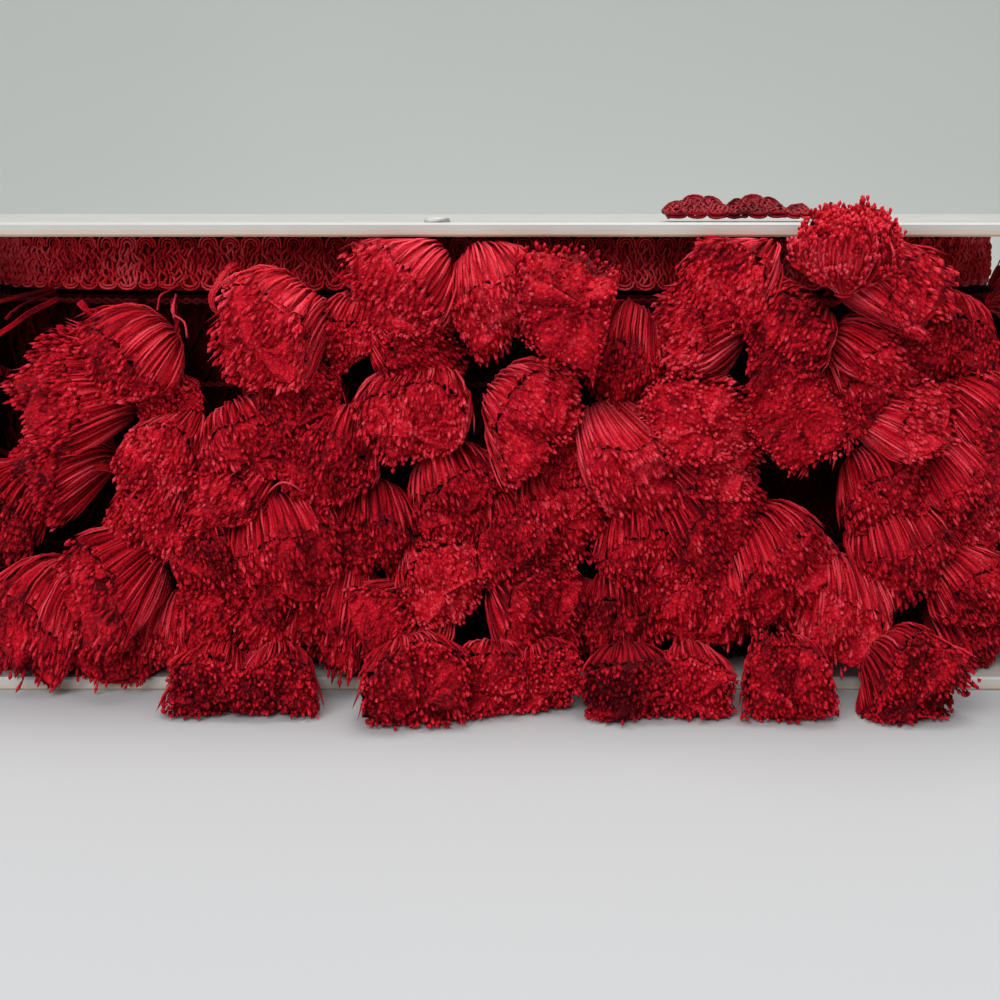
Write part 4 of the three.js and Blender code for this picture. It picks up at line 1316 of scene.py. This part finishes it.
class LooseEnd:
    """The line of the loose end, and the way across it and out of it at each point."""

    def __init__(self):
        line = smooth_line(LOOSE_END)
        self.centre = line[:, :3]
        along = unit(np.gradient(self.centre, axis=0))
        turn, bank = np.radians(line[:, 3]), np.radians(line[:, 4])
        wide = np.stack([np.sin(turn), np.cos(turn), np.tan(bank)], axis=-1)
        self.out = unit(np.cross(along, wide))
        self.wide = np.cross(self.out, along)
        steps = np.linalg.norm(np.diff(self.centre, axis=0), axis=1)
        self.distance = np.concatenate([[0], np.cumsum(steps)])
        self.length = self.distance[-1]

    def at(self, u, v, w):
        """Points at a distance along the end, up its width from its near edge, and out."""
        def along_line(values):
            columns = [np.interp(u, self.distance, values[:, k]) for k in range(3)]
            return np.stack(columns, axis=-1)
        centre, wide, out = map(along_line, (self.centre, self.wide, self.out))
        return centre + wide * (v - BRAID_WIDTH / 2)[..., None] + out * w[..., None]


def add_loose_end(material):
    end = LooseEnd()
    sheet = Soup()
    along = np.linspace(0, end.length, CLOTH["along"])
    wide = np.linspace(CLOTH["edge"], BRAID_WIDTH - CLOTH["edge"], CLOTH["across"])
    u, v = np.meshgrid(along, wide, indexing="ij")
    ribs = np.sin(2 * math.pi * u / REPEAT) * np.sin(math.pi * v / CLOTH["ribs"])
    upper = end.at(u, v, CLOTH["half"] + CLOTH["relief"] * ribs)
    lower = end.at(u, v, -CLOTH["half"] + CLOTH["relief"] * ribs)
    rings = np.concatenate([upper, lower[:, ::-1]], axis=1)
    # Painted shade: the ground between the yarns is painted dark.
    sheet.loft(rings, 0.15)
    cloth = sheet.piece("loose_end_ground", material, ["loose_end"])
    yarns = Soup()
    for pattern in (stitch_yarns(end.length), scallop_yarns(end.length)):
        inside = np.clip(pattern[..., 0], 0, end.length)
        for side in (1, -1):
            out = side * (pattern[..., 2] * FLATTER["share"] + FLATTER["lift"])
            points = end.at(inside, pattern[..., 1], out)
            yarns.tubes(points, BRAID_YARN, braid_tones(pattern) - FLATTER["darker"])
    braid = yarns.piece("loose_end_yarns", material, ["loose_end"])


def add_stray_yarns(material):
    """Loose yarns, and small bundles of them, each held at one end by the fringe."""
    draw = np.random.default_rng(STRAY["seed"])
    soup = Soup()
    for strands, first, last, tone, points in STRAY_YARNS:
        line = smooth_line(points)
        part = np.linspace(0, 1, len(line))[:, None]
        side, other = about(unit(np.gradient(line, axis=0)))
        yarns = []
        for k in range(strands):
            angle, radius = k * GOLDEN_TURN, math.sqrt((k + 0.5) / strands)
            away = radius * (first + (last - first) * part)
            ripple = STRAY["ripple"] * np.sin(STRAY["ripples"] * part + draw.uniform(0, PHASES))
            offset = (math.cos(angle) * side + math.sin(angle) * other) * away
            yarns.append(line + offset + ripple * side)
        tones = tone + STRAY["tones"] * draw.normal(size=(strands, 1))
        soup.tubes(yarns, STRAY["radius"], tones)
    soup.piece("stray_yarns", material)


def add_chip(material):
    """A ragged flake of coating on the upper board's front edge."""
    around, ragged, narrowing, least, seed = CHIP_EDGE.values()
    draw = np.random.default_rng(seed)
    low, high = np.array(CHIP)
    middle, half = (low + high) / 2, (high - low) / 2
    angle = 2 * math.pi * np.arange(around) / around
    rings = []
    for level in CHIP_LEVELS:
        size = math.sqrt(max(least, 1 - narrowing * max(0, level) ** 2))
        radius = size * (1 + ragged * draw.normal(size=around))
        ring = np.column_stack([disc(angle, radius), np.full(around, level)])
        rings.append(middle + half * ring)
    soup = Soup()
    soup.loft(rings, 1.0)
    soup.piece("board_chip", material)


def finish_boards():
    for node, box in (("board_lower", LOWER_BOARD), ("board_upper", UPPER_BOARD)):
        material = board_material(f"{node}_coating", box[0][2] * MM)
        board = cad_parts[node]
        board.data.materials.clear()
        board.data.materials.append(material)
    return material


def main():
    add_camera()
    add_lights()
    add_stage()
    bpy.context.scene.view_settings.view_transform = "Standard"
    tassel, heading, loose, netting = (yarn_material(name, *look) for name, look in YARNS.items())
    coating = finish_boards()
    add_chip(coating)
    add_tassels(tassel)
    add_stray_yarns(tassel)
    add_heading(heading)
    add_netting(netting)
    add_loose_end(loose)


main()
